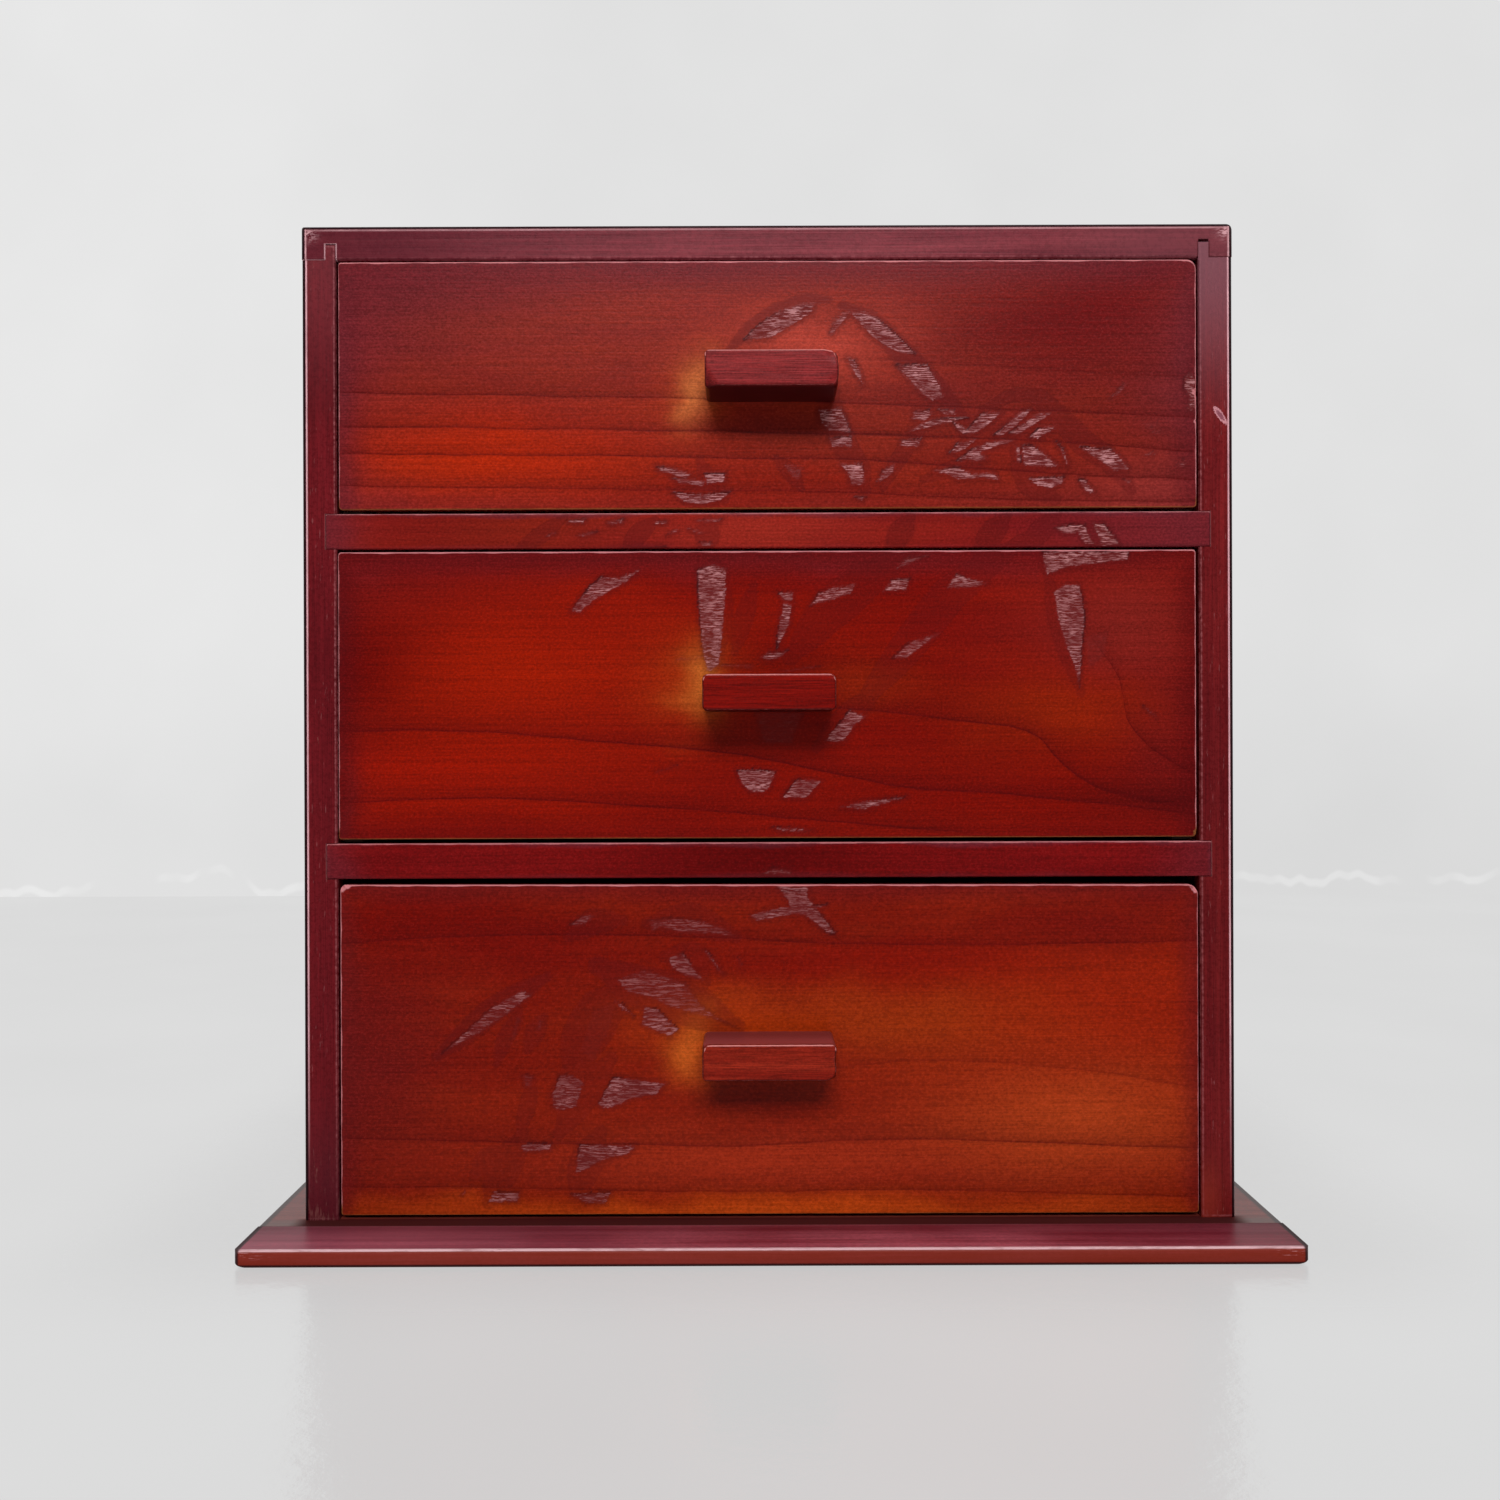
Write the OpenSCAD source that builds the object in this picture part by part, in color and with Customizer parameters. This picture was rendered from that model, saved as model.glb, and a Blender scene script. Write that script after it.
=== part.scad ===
// Small three-drawer tabletop tansu chest in stained and lacquered wood.
// X runs to the right and Y to the back. The origin is under the middle of the base board.

/* [Carcass] */
// Width over the two side boards
carcass_w = 330; // [280:1:420]
// Depth of the side boards, front to back
carcass_d = 240; // [200:1:320]
// Thickness of the side boards and the top board
board_t = 12; // [11:0.5:16]
// How far the top board stands out past each side board
top_overhang = 0.2; // [0:0.1:4]
// Thickness of the rails and runners between the drawers
rail_t = 12.5; // [10:0.5:16]
// Depth of a front rail, front to back
rail_d = 36; // [24:1:60]
// Width of a runner that shows inside the chest
runner_w = 16; // [12:1:30]
// How far rails and runners are housed in the side boards
housing = 4; // [3:0.5:6]
// Radius of the eased edges of the boards
edge_r = 0.8; // [0.4:0.1:2]

/* [Corner joint] */
// Thickness of the tongue on top of a side board
tongue_t = 3.6; // [2.5:0.1:5]
// Height of the tongue above the side board's shoulder
tongue_h = 5.5; // [3:0.5:7]
// Air left over the left tongue in the top board's groove
left_groove_air = 0.3; // [0.2:0.1:2]
// Air left over the right tongue
right_groove_air = 1.1; // [0.2:0.1:2]

/* [Back] */
// Thickness of the plywood back
panel_t = 4; // [3:0.5:6]
// Width of the rebate that the back lies in
rebate_w = 6; // [5:0.5:8]
// Gap around the back in its rebate
panel_fit = 0.2; // [0.1:0.1:1]
// Nails along each side of the back
side_nails = 4; // [2:1:8]
// Nails along the top of the back
top_nails = 3; // [2:1:8]
// Distance of the outer nails from the corners of the back
nail_margin = 20; // [12:1:40]
// Length of a nail's shank
nail_l = 15; // [12:1:20]
// Radius of a nail's shank
nail_r = 0.7; // [0.5:0.1:1]
// Radius of a nail's head
nail_head_r = 1.6; // [1.2:0.1:2]
// Thickness of a nail's head
nail_head_t = 0.5; // [0.3:0.1:0.8]

/* [Base] */
// Thickness of the base board
base_t = 6; // [5:0.5:12]
// How far the base stands out past each side board
base_side_reach = 14.5; // [6:0.5:30]
// How far the base stands out in front of the chest
base_front_reach = 30; // [26:0.5:50]
// Depth of the strip along the base's front
strip_d = 24; // [16:0.5:25]
// Thickness of the tongue that joins the strip to the base board
strip_tongue_t = 2; // [1.5:0.1:3]
// Length of that tongue
strip_tongue_l = 3; // [2:0.5:6]
// Radius of the strip's upright corners
strip_corner_r = 2.4; // [1:0.1:5]
// Radius of the strip's upper and lower front edges
strip_edge_r = 1.4; // [0.6:0.1:2]
// Width of the worn bevel under each end of the strip
strip_bevel_w = 4; // [1:0.5:8]
// Height of that bevel
strip_bevel_h = 1.6; // [0.6:0.1:2.4]
// Screws up into each side board
base_screws_per_side = 3; // [2:1:5]
// Length of a base screw
base_screw_l = 26; // [18:1:40]
// Radius of a screw's shank
screw_r = 1.6; // [1.2:0.1:2]
// Radius of a countersunk screw's head
screw_head_r = 3.2; // [2.8:0.1:4]

/* [Drawer openings] */
// Height of the top drawer's opening
top_opening_h = 90; // [60:0.5:140]
// Height of the middle drawer's opening
middle_opening_h = 104.5; // [60:0.5:160]
// Height of the bottom drawer's opening
bottom_opening_h = 121; // [60:0.5:180]

/* [Drawer fronts] */
// Thickness of a drawer front
front_t = 14; // [12:0.5:18]
// How far a drawer front sits back from the side boards' front edges
front_recess = 0.4; // [0:0.1:3]
// Gap over the top drawer's front
top_gap_above = 0.5; // [0.3:0.1:3]
// Gap over the middle drawer's front
middle_gap_above = 1; // [0.3:0.1:3]
// Gap over the bottom drawer's front
bottom_gap_above = 2.1; // [0.3:0.1:3]
// Gap under each drawer front
gap_below = 1.5; // [0.5:0.1:3]
// Gap between a front and each side board
gap_beside = 0.7; // [0.6:0.1:2]
// How far the middle drawer has settled to the left in its opening
middle_drawer_shift = 0.4; // [0:0.1:0.4]
// Radius of a front's worn edges
front_edge_r = 1.1; // [0.5:0.1:2]
// Radius of a front's four corners
front_corner_r = 1.6; // [1.1:0.1:4]

/* [Drawer boxes] */
// Thickness of a drawer side
side_t = 7; // [6:0.5:9]
// Thickness left in front of a drawer side, where the front laps over it
lap_t = 5; // [4:0.5:6]
// How far a drawer side's face is set in from the end of its front
side_inset = 0.3; // [0.1:0.1:1]
// How much lower than its front a drawer side ends at the top
side_drop = 2; // [0.5:0.5:8]
// Height at which a drawer runs over its runners
run_gap = 0.3; // [0.2:0.1:0.4]
// Thickness of a drawer bottom
bottom_t = 3; // [2.5:0.5:5]
// Depth of the groove that a drawer bottom lies in
bottom_groove = 3; // [2:0.5:4]
// Height of that groove over the drawer side's lower edge
bottom_rise = 4.5; // [4:0.5:8]
// Thickness of a drawer back
drawer_back_t = 7; // [5:0.5:9]
// How far a drawer back is housed in the sides
back_housing = 2; // [1:0.5:3]
// Length of the sides behind the drawer back
tail_l = 6; // [3:1:15]
// Gap between a closed drawer's sides and the chest's back
back_gap = 0.3; // [0.2:0.1:0.6]
// Radius of a wooden peg
peg_r = 1.3; // [1:0.1:1.6]
// Length of a wooden peg
peg_l = 15; // [12:0.5:18]
// Pegs down each corner of a drawer
corner_pegs = 3; // [2:1:4]
// Distance of the outer corner pegs from the drawer's bottom and from the sides' upper edges
peg_margin = 12; // [8:1:20]
// Pegs up through a drawer's bottom into its back
bottom_pegs = 3; // [2:1:6]
// Distance of the outer bottom pegs from the drawer sides
bottom_peg_margin = 24; // [12:1:60]

/* [Pulls] */
// Width of a bar pull
pull_w = 45.5; // [35:0.5:70]
// Height of a bar pull
pull_h = 12.3; // [11:0.1:20]
// How far a bar pull stands out from its drawer front
pull_reach = 22.5; // [14:0.5:25]
// How far the top drawer's pull sits right of the drawer's middle
top_pull_shift = 1.2; // [-3:0.1:3]
// How far the middle drawer's pull sits right of the drawer's middle
middle_pull_shift = 0.4; // [-3:0.1:3]
// How far the bottom drawer's pull sits right of the drawer's middle
bottom_pull_shift = -0.4; // [-3:0.1:3]
// Radius of a bar pull's worn edges
pull_edge_r = 1.2; // [0.5:0.1:2]
// Radius of the corners of its front face
pull_corner_r = 2.2; // [1.3:0.1:5]
// Distance between the two screws in a pull
pull_screw_pitch = 26; // [20:1:32]
// Length of a pull screw's shank
pull_screw_l = 26; // [22:1:28]
// Radius of a pull screw's head
pull_screw_head_r = 3.4; // [2.8:0.1:4]
// Height of a pull screw's head
pull_screw_head_h = 2; // [1.5:0.1:2.5]

/* [Hidden] */

$fn = 48;
// Overlap that lets a cut break through a face cleanly
cut = 1;
// Slack between a fastener and its hole
hole_fit = 0.05;
// Slack in the housings and grooves
joint_fit = 0.05;
left = -1;
right = 1;

carcass_x = carcass_w / 2;
inner_x = carcass_x - board_t;
base_w = carcass_w + 2 * base_side_reach;
base_d = carcass_d + base_front_reach;
base_front_y = -base_d / 2;
back_y = base_d / 2;
front_y = back_y - carcass_d;
panel_y = back_y - nail_head_t - panel_t;

lower_rail_z = base_t + bottom_opening_h;
middle_floor_z = lower_rail_z + rail_t;
upper_rail_z = middle_floor_z + middle_opening_h;
top_floor_z = upper_rail_z + rail_t;
shoulder_z = top_floor_z + top_opening_h;

strip_back_y = base_front_y + strip_d;
runner_y = front_y + rail_d;
side_drawer_y = front_y + front_recess + lap_t;
front_inside_y = front_y + front_recess + front_t;
tail_y = panel_y - back_gap;
drawer_back_y = tail_y - tail_l - drawer_back_t;
drawer_x = inner_x - gap_beside;
box_x = drawer_x - side_inset;
box_inner_x = box_x - side_t;
// A drawer bottom's lower face, over the floor of its opening
bottom_z = run_gap + bottom_rise;

// Each drawer: floor of its opening, its opening's height, gap over its front, shift in X, its pull's shift
TOP = [top_floor_z, top_opening_h, top_gap_above, 0, top_pull_shift];
MIDDLE = [middle_floor_z, middle_opening_h, middle_gap_above, -middle_drawer_shift, middle_pull_shift];
BOTTOM = [base_t, bottom_opening_h, bottom_gap_above, 0, bottom_pull_shift];

function floor_z(drawer) = drawer[0];
function front_top(drawer) = drawer[1] - drawer[2];
function front_h(drawer) = front_top(drawer) - gap_below;
function shift_x(drawer) = drawer[3];
function pull_x(drawer) = drawer[4];
function pull_z(drawer) = gap_below + front_h(drawer) / 2;
function side_top(drawer) = front_top(drawer) - side_drop;
function side_h(drawer) = side_top(drawer) - run_gap;
// Places that share a length evenly, with the same margin at both ends
function spread(low, high, count) = [for (i = [0 : count - 1]) low + (high - low) * i / (count - 1)];
function peg_heights(drawer) =
  spread(bottom_z + bottom_t + peg_margin, side_top(drawer) - peg_margin, corner_pegs);
function bottom_peg_places() =
  spread(bottom_peg_margin - box_inner_x, box_inner_x - bottom_peg_margin, bottom_pegs);

case_color = [0.34, 0.09, 0.11];
rail_color = [0.42, 0.09, 0.08];
front_color = [0.50, 0.12, 0.07];
pull_color = [0.40, 0.13, 0.12];
strip_color = [0.40, 0.17, 0.20];
bare_color = [0.78, 0.62, 0.42];
ply_color = [0.72, 0.55, 0.36];
peg_color = [0.70, 0.58, 0.34];
steel_color = [0.62, 0.62, 0.60];

// Section of a board with its two front edges eased: depth along X, front at 0, height along Y
module eased_section(depth, height, r) {
  translate([r, 0]) square([depth - r, height]);
  translate([0, r]) square([depth, height - 2 * r]);
  for (y = [r, height - r]) {
    translate([r, y]) circle(r);
  }
}

// Rectangle centred on the origin, with four round corners
module rounded_rectangle(w, h, r) {
  square([w - 2 * r, h], center = true);
  square([w, h - 2 * r], center = true);
  for (x = [-1, 1] * (w / 2 - r), y = [-1, 1] * (h / 2 - r)) {
    translate([x, y]) circle(r);
  }
}

// Turns a section so that its X is depth and its Y is height, and extrudes it across the chest
module across(w) {
  translate([-w / 2, 0, 0]) rotate([90, 0, 90]) linear_extrude(w) children();
}

// Board with eased front edges and round front corners: its front at Y 0, its foot at Z 0
module eased_front(w, depth, h, edge, corner) {
  intersection() {
    across(w) eased_section(depth, h, edge);
    rotate([0, 0, 90]) translate([0, -w / 2, 0]) linear_extrude(h) eased_section(depth, w, edge);
    translate([0, depth, h / 2]) rotate([90, 0, 0]) linear_extrude(depth) rounded_rectangle(w, h, corner);
  }
}

// Cylinder along X, from the given point
module bar_x(r, l) {
  rotate([0, 90, 0]) cylinder(r = r, h = l);
}

// Cylinder along Y, from the given point
module bar_y(r, l) {
  rotate([-90, 0, 0]) cylinder(r = r, h = l);
}

// Countersunk wood screw that points up, with the flat of its head at Z 0
module countersunk_screw(slack) {
  cylinder(r1 = screw_head_r + slack, r2 = screw_r + slack, h = screw_head_r - screw_r);
  cylinder(r = screw_r + slack, h = base_screw_l + slack);
}

module at_base_screws(side) {
  margin = carcass_d / (2 * base_screws_per_side);
  for (y = spread(front_y + margin, back_y - margin, base_screws_per_side)) {
    translate([side * (carcass_x - board_t / 2), y, 0]) children();
  }
}

// Nail that points to the front, with the top of its head at Y 0
module back_nail() {
  translate([0, -nail_head_t, 0]) bar_y(nail_head_r, nail_head_t);
  translate([0, -nail_l, 0]) bar_y(nail_r, nail_l);
}

// Places of the nails: down each side of the back, and along its top
module at_back_nails() {
  row_x = inner_x + rebate_w / 2;
  row_z = shoulder_z + rebate_w / 2;
  for (x = [left * row_x, right * row_x], z = spread(base_t + nail_margin, row_z - nail_margin, side_nails)) {
    translate([x, back_y, z]) children();
  }
  for (x = spread(nail_margin - row_x, row_x - nail_margin, top_nails)) {
    translate([x, back_y, row_z]) children();
  }
}

module nail_holes() {
  at_back_nails() translate([0, -nail_l - hole_fit, 0]) bar_y(nail_r + hole_fit, nail_l + cut);
}

// Room for the tongue under the top board, open at the front and stopped at the back panel
module top_groove(side) {
  x = side > 0 ? inner_x - joint_fit : -inner_x - tongue_t;
  air = side > 0 ? right_groove_air : left_groove_air;
  translate([x, front_y - cut, shoulder_z - cut])
    cube([tongue_t + joint_fit, panel_y - front_y + cut, tongue_h + air + cut]);
}

// Housing across a side board's inner face for a rail and its runner
module housing_cut(side, z) {
  x = side > 0 ? inner_x - cut : -inner_x - housing;
  translate([x, front_y - cut, z]) cube([housing + cut, panel_y - front_y + cut, rail_t]);
}

module side_board(side) {
  tongue_x = side > 0 ? inner_x : -inner_x - tongue_t;
  rebate_x = side > 0 ? inner_x - cut : -inner_x - rebate_w;
  color(case_color) difference() {
    union() {
      translate([side * (carcass_x - board_t / 2), front_y, base_t])
        rotate([0, 0, 90]) translate([0, -board_t / 2, 0])
          linear_extrude(shoulder_z - base_t) eased_section(carcass_d, board_t, edge_r);
      translate([tongue_x, front_y, shoulder_z - cut]) cube([tongue_t, carcass_d, tongue_h + cut]);
    }
    housing_cut(side, upper_rail_z);
    housing_cut(side, lower_rail_z);
    translate([rebate_x, panel_y, base_t - cut])
      cube([rebate_w + cut, back_y - panel_y + cut, shoulder_z + board_t]);
    at_base_screws(side) countersunk_screw(hole_fit);
    nail_holes();
  }
}

module side_board_left() { side_board(left); }
module side_board_right() { side_board(right); }

module top_board() {
  w = carcass_w + 2 * top_overhang;
  color(case_color) difference() {
    intersection() {
      translate([0, front_y, shoulder_z]) across(w) eased_section(carcass_d, board_t, edge_r);
      translate([0, back_y, shoulder_z + board_t / 2]) rotate([90, 0, 0])
        linear_extrude(carcass_d) rounded_rectangle(w, board_t, edge_r);
    }
    top_groove(left);
    top_groove(right);
    translate([-inner_x - rebate_w, panel_y, shoulder_z - cut])
      cube([2 * (inner_x + rebate_w), back_y - panel_y + cut, rebate_w + cut]);
    nail_holes();
  }
}

module rail(z) {
  w = 2 * (inner_x + housing);
  color(rail_color) translate([0, front_y, z]) across(w) eased_section(rail_d, rail_t, edge_r);
}

module upper_rail() { rail(upper_rail_z); }
module lower_rail() { rail(lower_rail_z); }

// Runner behind a rail, housed in the same cut, with its top level with the rail's
module runner(side, z) {
  x = side > 0 ? inner_x - runner_w : -inner_x - housing;
  color(bare_color) difference() {
    translate([x, runner_y, z]) cube([runner_w + housing, panel_y - runner_y, rail_t]);
    nail_holes();
  }
}

module upper_runner_left() { runner(left, upper_rail_z); }
module upper_runner_right() { runner(right, upper_rail_z); }
module lower_runner_left() { runner(left, lower_rail_z); }
module lower_runner_right() { runner(right, lower_rail_z); }

module back_panel() {
  x = inner_x + rebate_w - panel_fit;
  top_z = shoulder_z + rebate_w - panel_fit;
  color(ply_color) difference() {
    translate([-x, panel_y, base_t]) cube([2 * x, panel_t, top_z - base_t]);
    nail_holes();
  }
}

module back_nails() {
  color(steel_color) at_back_nails() back_nail();
}

// Tongue on the base board's front edge, or with slack the groove for it in the strip
module strip_tongue(slack) {
  translate([-base_w / 2, strip_back_y - strip_tongue_l - slack, (base_t - strip_tongue_t) / 2 - slack])
    cube([base_w, strip_tongue_l + slack + cut, strip_tongue_t + 2 * slack]);
}

module base_board() {
  color(case_color) difference() {
    union() {
      translate([0, back_y, base_t / 2]) rotate([90, 0, 0])
        linear_extrude(back_y - strip_back_y) rounded_rectangle(base_w, base_t, edge_r);
      strip_tongue(0);
    }
    for (side = [left, right]) {
      at_base_screws(side) countersunk_screw(hole_fit);
    }
  }
}

// Front outline of the strip, with its ends worn to a bevel underneath
module strip_outline() {
  x = base_w / 2;
  polygon([
    [-x, strip_bevel_h], [-x + strip_bevel_w, 0], [x - strip_bevel_w, 0], [x, strip_bevel_h],
    [x, base_t], [-x, base_t]
  ]);
}

module base_front_strip() {
  color(strip_color) difference() {
    translate([0, base_front_y, 0]) intersection() {
      across(base_w) eased_section(strip_d, base_t, strip_edge_r);
      rotate([0, 0, 90]) translate([0, -base_w / 2, 0])
        linear_extrude(base_t) eased_section(strip_d, base_w, strip_corner_r);
      translate([0, strip_d, 0]) rotate([90, 0, 0]) linear_extrude(strip_d) strip_outline();
    }
    strip_tongue(joint_fit);
  }
}

module base_screws() {
  color(steel_color) for (side = [left, right]) {
    at_base_screws(side) countersunk_screw(0);
  }
}

// Moves a drawer's piece to its place in the chest
module in_drawer(drawer) {
  translate([shift_x(drawer), 0, floor_z(drawer)]) children();
}

module at_pull_screws(drawer) {
  for (x = [-1, 1] * pull_screw_pitch / 2) {
    translate([pull_x(drawer) + x, 0, pull_z(drawer)]) children();
  }
}

// Pegs through the drawer sides into the front and the back, pointing in along X
module at_side_pegs(drawer) {
  front_peg_y = (side_drawer_y + front_inside_y) / 2;
  back_peg_y = drawer_back_y + drawer_back_t / 2;
  for (z = peg_heights(drawer), y = [front_peg_y, back_peg_y]) {
    translate([-box_x, y, z]) children();
    translate([box_x, y, z]) mirror([1, 0, 0]) children();
  }
}

// Pegs up through the drawer bottom into the drawer back
module at_bottom_pegs() {
  for (x = bottom_peg_places()) {
    translate([x, drawer_back_y + drawer_back_t / 2, bottom_z]) children();
  }
}

module peg_holes(drawer) {
  at_side_pegs(drawer) translate([-cut, 0, 0]) bar_x(peg_r + hole_fit, peg_l + cut + hole_fit);
  at_bottom_pegs() translate([0, 0, -cut]) cylinder(r = peg_r + hole_fit, h = peg_l + cut + hole_fit);
}

module pull_screw_holes(drawer) {
  at_pull_screws(drawer) translate([0, front_inside_y - pull_screw_l - hole_fit, 0])
    bar_y(screw_r + hole_fit, pull_screw_l + hole_fit + cut);
}

// The bottom panel, or with slack the grooves that it lies in
module bottom_slab(slack) {
  x = box_inner_x + bottom_groove - joint_fit + slack;
  y = front_inside_y - bottom_groove + joint_fit - slack;
  translate([-x, y, bottom_z - slack])
    cube([2 * x, drawer_back_y + drawer_back_t - y + slack, bottom_t + 2 * slack]);
}

// Groove for the bottom in the two sides, open at their rear ends
module bottom_groove_cut() {
  x = box_inner_x + bottom_groove;
  translate([-x, front_inside_y - bottom_groove, bottom_z])
    cube([2 * x, tail_y - front_inside_y + bottom_groove + cut, bottom_t]);
}

// Lapped drawer front: the sides lie in a rebate behind each end
module drawer_front(drawer) {
  color(front_color) in_drawer(drawer) difference() {
    translate([0, front_y + front_recess, gap_below])
      eased_front(2 * drawer_x, front_t, front_h(drawer), front_edge_r, front_corner_r);
    for (side = [left, right]) {
      translate([side * (box_inner_x + front_t), side_drawer_y + front_t, 0])
        cube([2 * front_t, 2 * front_t, 2 * front_top(drawer)], center = true);
    }
    bottom_slab(joint_fit);
    pull_screw_holes(drawer);
    peg_holes(drawer);
  }
}

module drawer_side(drawer, side) {
  x = side > 0 ? box_inner_x : -box_x;
  color(bare_color) in_drawer(drawer) difference() {
    translate([x, side_drawer_y, run_gap]) cube([side_t, tail_y - side_drawer_y, side_h(drawer)]);
    bottom_groove_cut();
    translate([-box_inner_x - back_housing, drawer_back_y, bottom_z])
      cube([2 * (box_inner_x + back_housing), drawer_back_t, side_h(drawer) + cut]);
    peg_holes(drawer);
  }
}

module drawer_back(drawer) {
  x = box_inner_x + back_housing;
  z = bottom_z + bottom_t;
  color(bare_color) in_drawer(drawer) difference() {
    translate([-x, drawer_back_y, z]) cube([2 * x, drawer_back_t, side_top(drawer) - z]);
    peg_holes(drawer);
  }
}

module drawer_bottom(drawer) {
  color(ply_color) in_drawer(drawer) difference() {
    bottom_slab(0);
    peg_holes(drawer);
  }
}

module drawer_pull(drawer) {
  color(pull_color) in_drawer(drawer) difference() {
    translate([pull_x(drawer), front_y + front_recess - pull_reach, pull_z(drawer) - pull_h / 2])
      eased_front(pull_w, pull_reach, pull_h, pull_edge_r, pull_corner_r);
    pull_screw_holes(drawer);
  }
}

module pull_screws(drawer) {
  color(steel_color) in_drawer(drawer) at_pull_screws(drawer) {
    translate([0, front_inside_y - pull_screw_l, 0]) bar_y(screw_r, pull_screw_l);
    translate([0, front_inside_y, 0]) bar_y(pull_screw_head_r, pull_screw_head_h);
  }
}

module drawer_pegs(drawer) {
  color(peg_color) in_drawer(drawer) {
    at_side_pegs(drawer) bar_x(peg_r, peg_l);
    at_bottom_pegs() cylinder(r = peg_r, h = peg_l);
  }
}

module top_drawer_front() { drawer_front(TOP); }
module top_drawer_side_left() { drawer_side(TOP, left); }
module top_drawer_side_right() { drawer_side(TOP, right); }
module top_drawer_back() { drawer_back(TOP); }
module top_drawer_bottom() { drawer_bottom(TOP); }
module top_drawer_pull() { drawer_pull(TOP); }
module top_pull_screws() { pull_screws(TOP); }
module top_drawer_pegs() { drawer_pegs(TOP); }

module middle_drawer_front() { drawer_front(MIDDLE); }
module middle_drawer_side_left() { drawer_side(MIDDLE, left); }
module middle_drawer_side_right() { drawer_side(MIDDLE, right); }
module middle_drawer_back() { drawer_back(MIDDLE); }
module middle_drawer_bottom() { drawer_bottom(MIDDLE); }
module middle_drawer_pull() { drawer_pull(MIDDLE); }
module middle_pull_screws() { pull_screws(MIDDLE); }
module middle_drawer_pegs() { drawer_pegs(MIDDLE); }

module bottom_drawer_front() { drawer_front(BOTTOM); }
module bottom_drawer_side_left() { drawer_side(BOTTOM, left); }
module bottom_drawer_side_right() { drawer_side(BOTTOM, right); }
module bottom_drawer_back() { drawer_back(BOTTOM); }
module bottom_drawer_bottom() { drawer_bottom(BOTTOM); }
module bottom_drawer_pull() { drawer_pull(BOTTOM); }
module bottom_pull_screws() { pull_screws(BOTTOM); }
module bottom_drawer_pegs() { drawer_pegs(BOTTOM); }

base_board();
base_front_strip();
base_screws();
side_board_left();
side_board_right();
top_board();
upper_rail();
lower_rail();
upper_runner_left();
upper_runner_right();
lower_runner_left();
lower_runner_right();
back_panel();
back_nails();

top_drawer_front();
top_drawer_side_left();
top_drawer_side_right();
top_drawer_back();
top_drawer_bottom();
top_drawer_pull();
top_pull_screws();
top_drawer_pegs();

middle_drawer_front();
middle_drawer_side_left();
middle_drawer_side_right();
middle_drawer_back();
middle_drawer_bottom();
middle_drawer_pull();
middle_pull_screws();
middle_drawer_pegs();

bottom_drawer_front();
bottom_drawer_side_left();
bottom_drawer_side_right();
bottom_drawer_back();
bottom_drawer_bottom();
bottom_drawer_pull();
bottom_pull_screws();
bottom_drawer_pegs();
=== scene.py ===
# %% [markdown]
# # A small three-drawer tansu chest
# The object is a tabletop tansu: a plain case on a flared base board, three drawers of growing
# height with bar pulls, red-orange stain that darkens to wine at the edges under satin lacquer,
# and shallow bamboo carving. The joinery, sizes and moving drawers come from a finished CAD model.
# That model is loaded first and stays fixed: this lesson only gives it worn edges, carving,
# finishes and a small studio.

# %% Load the chest
import math

import bmesh
import bpy
import numpy as np
from mathutils import Matrix, Vector


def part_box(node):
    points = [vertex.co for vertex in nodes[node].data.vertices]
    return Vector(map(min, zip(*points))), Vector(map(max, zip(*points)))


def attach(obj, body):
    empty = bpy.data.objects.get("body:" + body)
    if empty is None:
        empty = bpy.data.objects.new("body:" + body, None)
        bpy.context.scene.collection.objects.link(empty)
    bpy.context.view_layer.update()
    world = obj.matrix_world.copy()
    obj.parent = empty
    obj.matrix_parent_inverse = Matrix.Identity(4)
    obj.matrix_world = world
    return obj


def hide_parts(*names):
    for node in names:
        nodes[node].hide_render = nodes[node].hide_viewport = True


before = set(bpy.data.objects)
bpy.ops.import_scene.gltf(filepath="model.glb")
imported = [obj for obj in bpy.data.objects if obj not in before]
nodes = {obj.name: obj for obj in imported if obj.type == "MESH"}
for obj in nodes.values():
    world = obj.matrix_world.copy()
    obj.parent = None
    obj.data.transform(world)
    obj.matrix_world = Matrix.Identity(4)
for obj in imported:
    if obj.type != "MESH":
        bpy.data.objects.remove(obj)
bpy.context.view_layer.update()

MM = 0.001


# %% [markdown]
# ## Camera
# The photograph looks straight at the drawers from half a metre, at a little under half the
# chest's height. The upright edges are upright in it, so the camera is level and has no shift.
# Only a fifth of a degree of roll remains, from a camera held by hand.

# %% Camera
CAMERA_PLACE = (-0.0066, -0.598, 0.1723)
CAMERA_ROLL = math.radians(-0.2)
camera_data = bpy.data.cameras.new("camera")
camera_data.sensor_width = 36
camera_data.lens = 33.36
camera = bpy.data.objects.new("camera", camera_data)
camera.matrix_world = (
    Matrix.Translation(CAMERA_PLACE) @ Matrix.Rotation(math.radians(90), 4, "X")
    @ Matrix.Rotation(CAMERA_ROLL, 4, "Z"))
bpy.context.collection.objects.link(camera)
bpy.context.scene.camera = camera
bpy.context.scene.view_settings.view_transform = "Standard"
print("camera lens", camera_data.lens, "mm at", CAMERA_PLACE)


# %% [markdown]
# ## Writing a finish as sums
# A finish is a tree of shader nodes. Joining dozens of Math nodes by hand is slow to write and
# hard to read. A small class wraps one socket instead, and its operators add the nodes, so that
# `1 - mask` or `height * 0.3` is written as it is thought. Every other node comes from one
# method, `node`, which sets the node's settings first and then its sockets.

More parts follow.
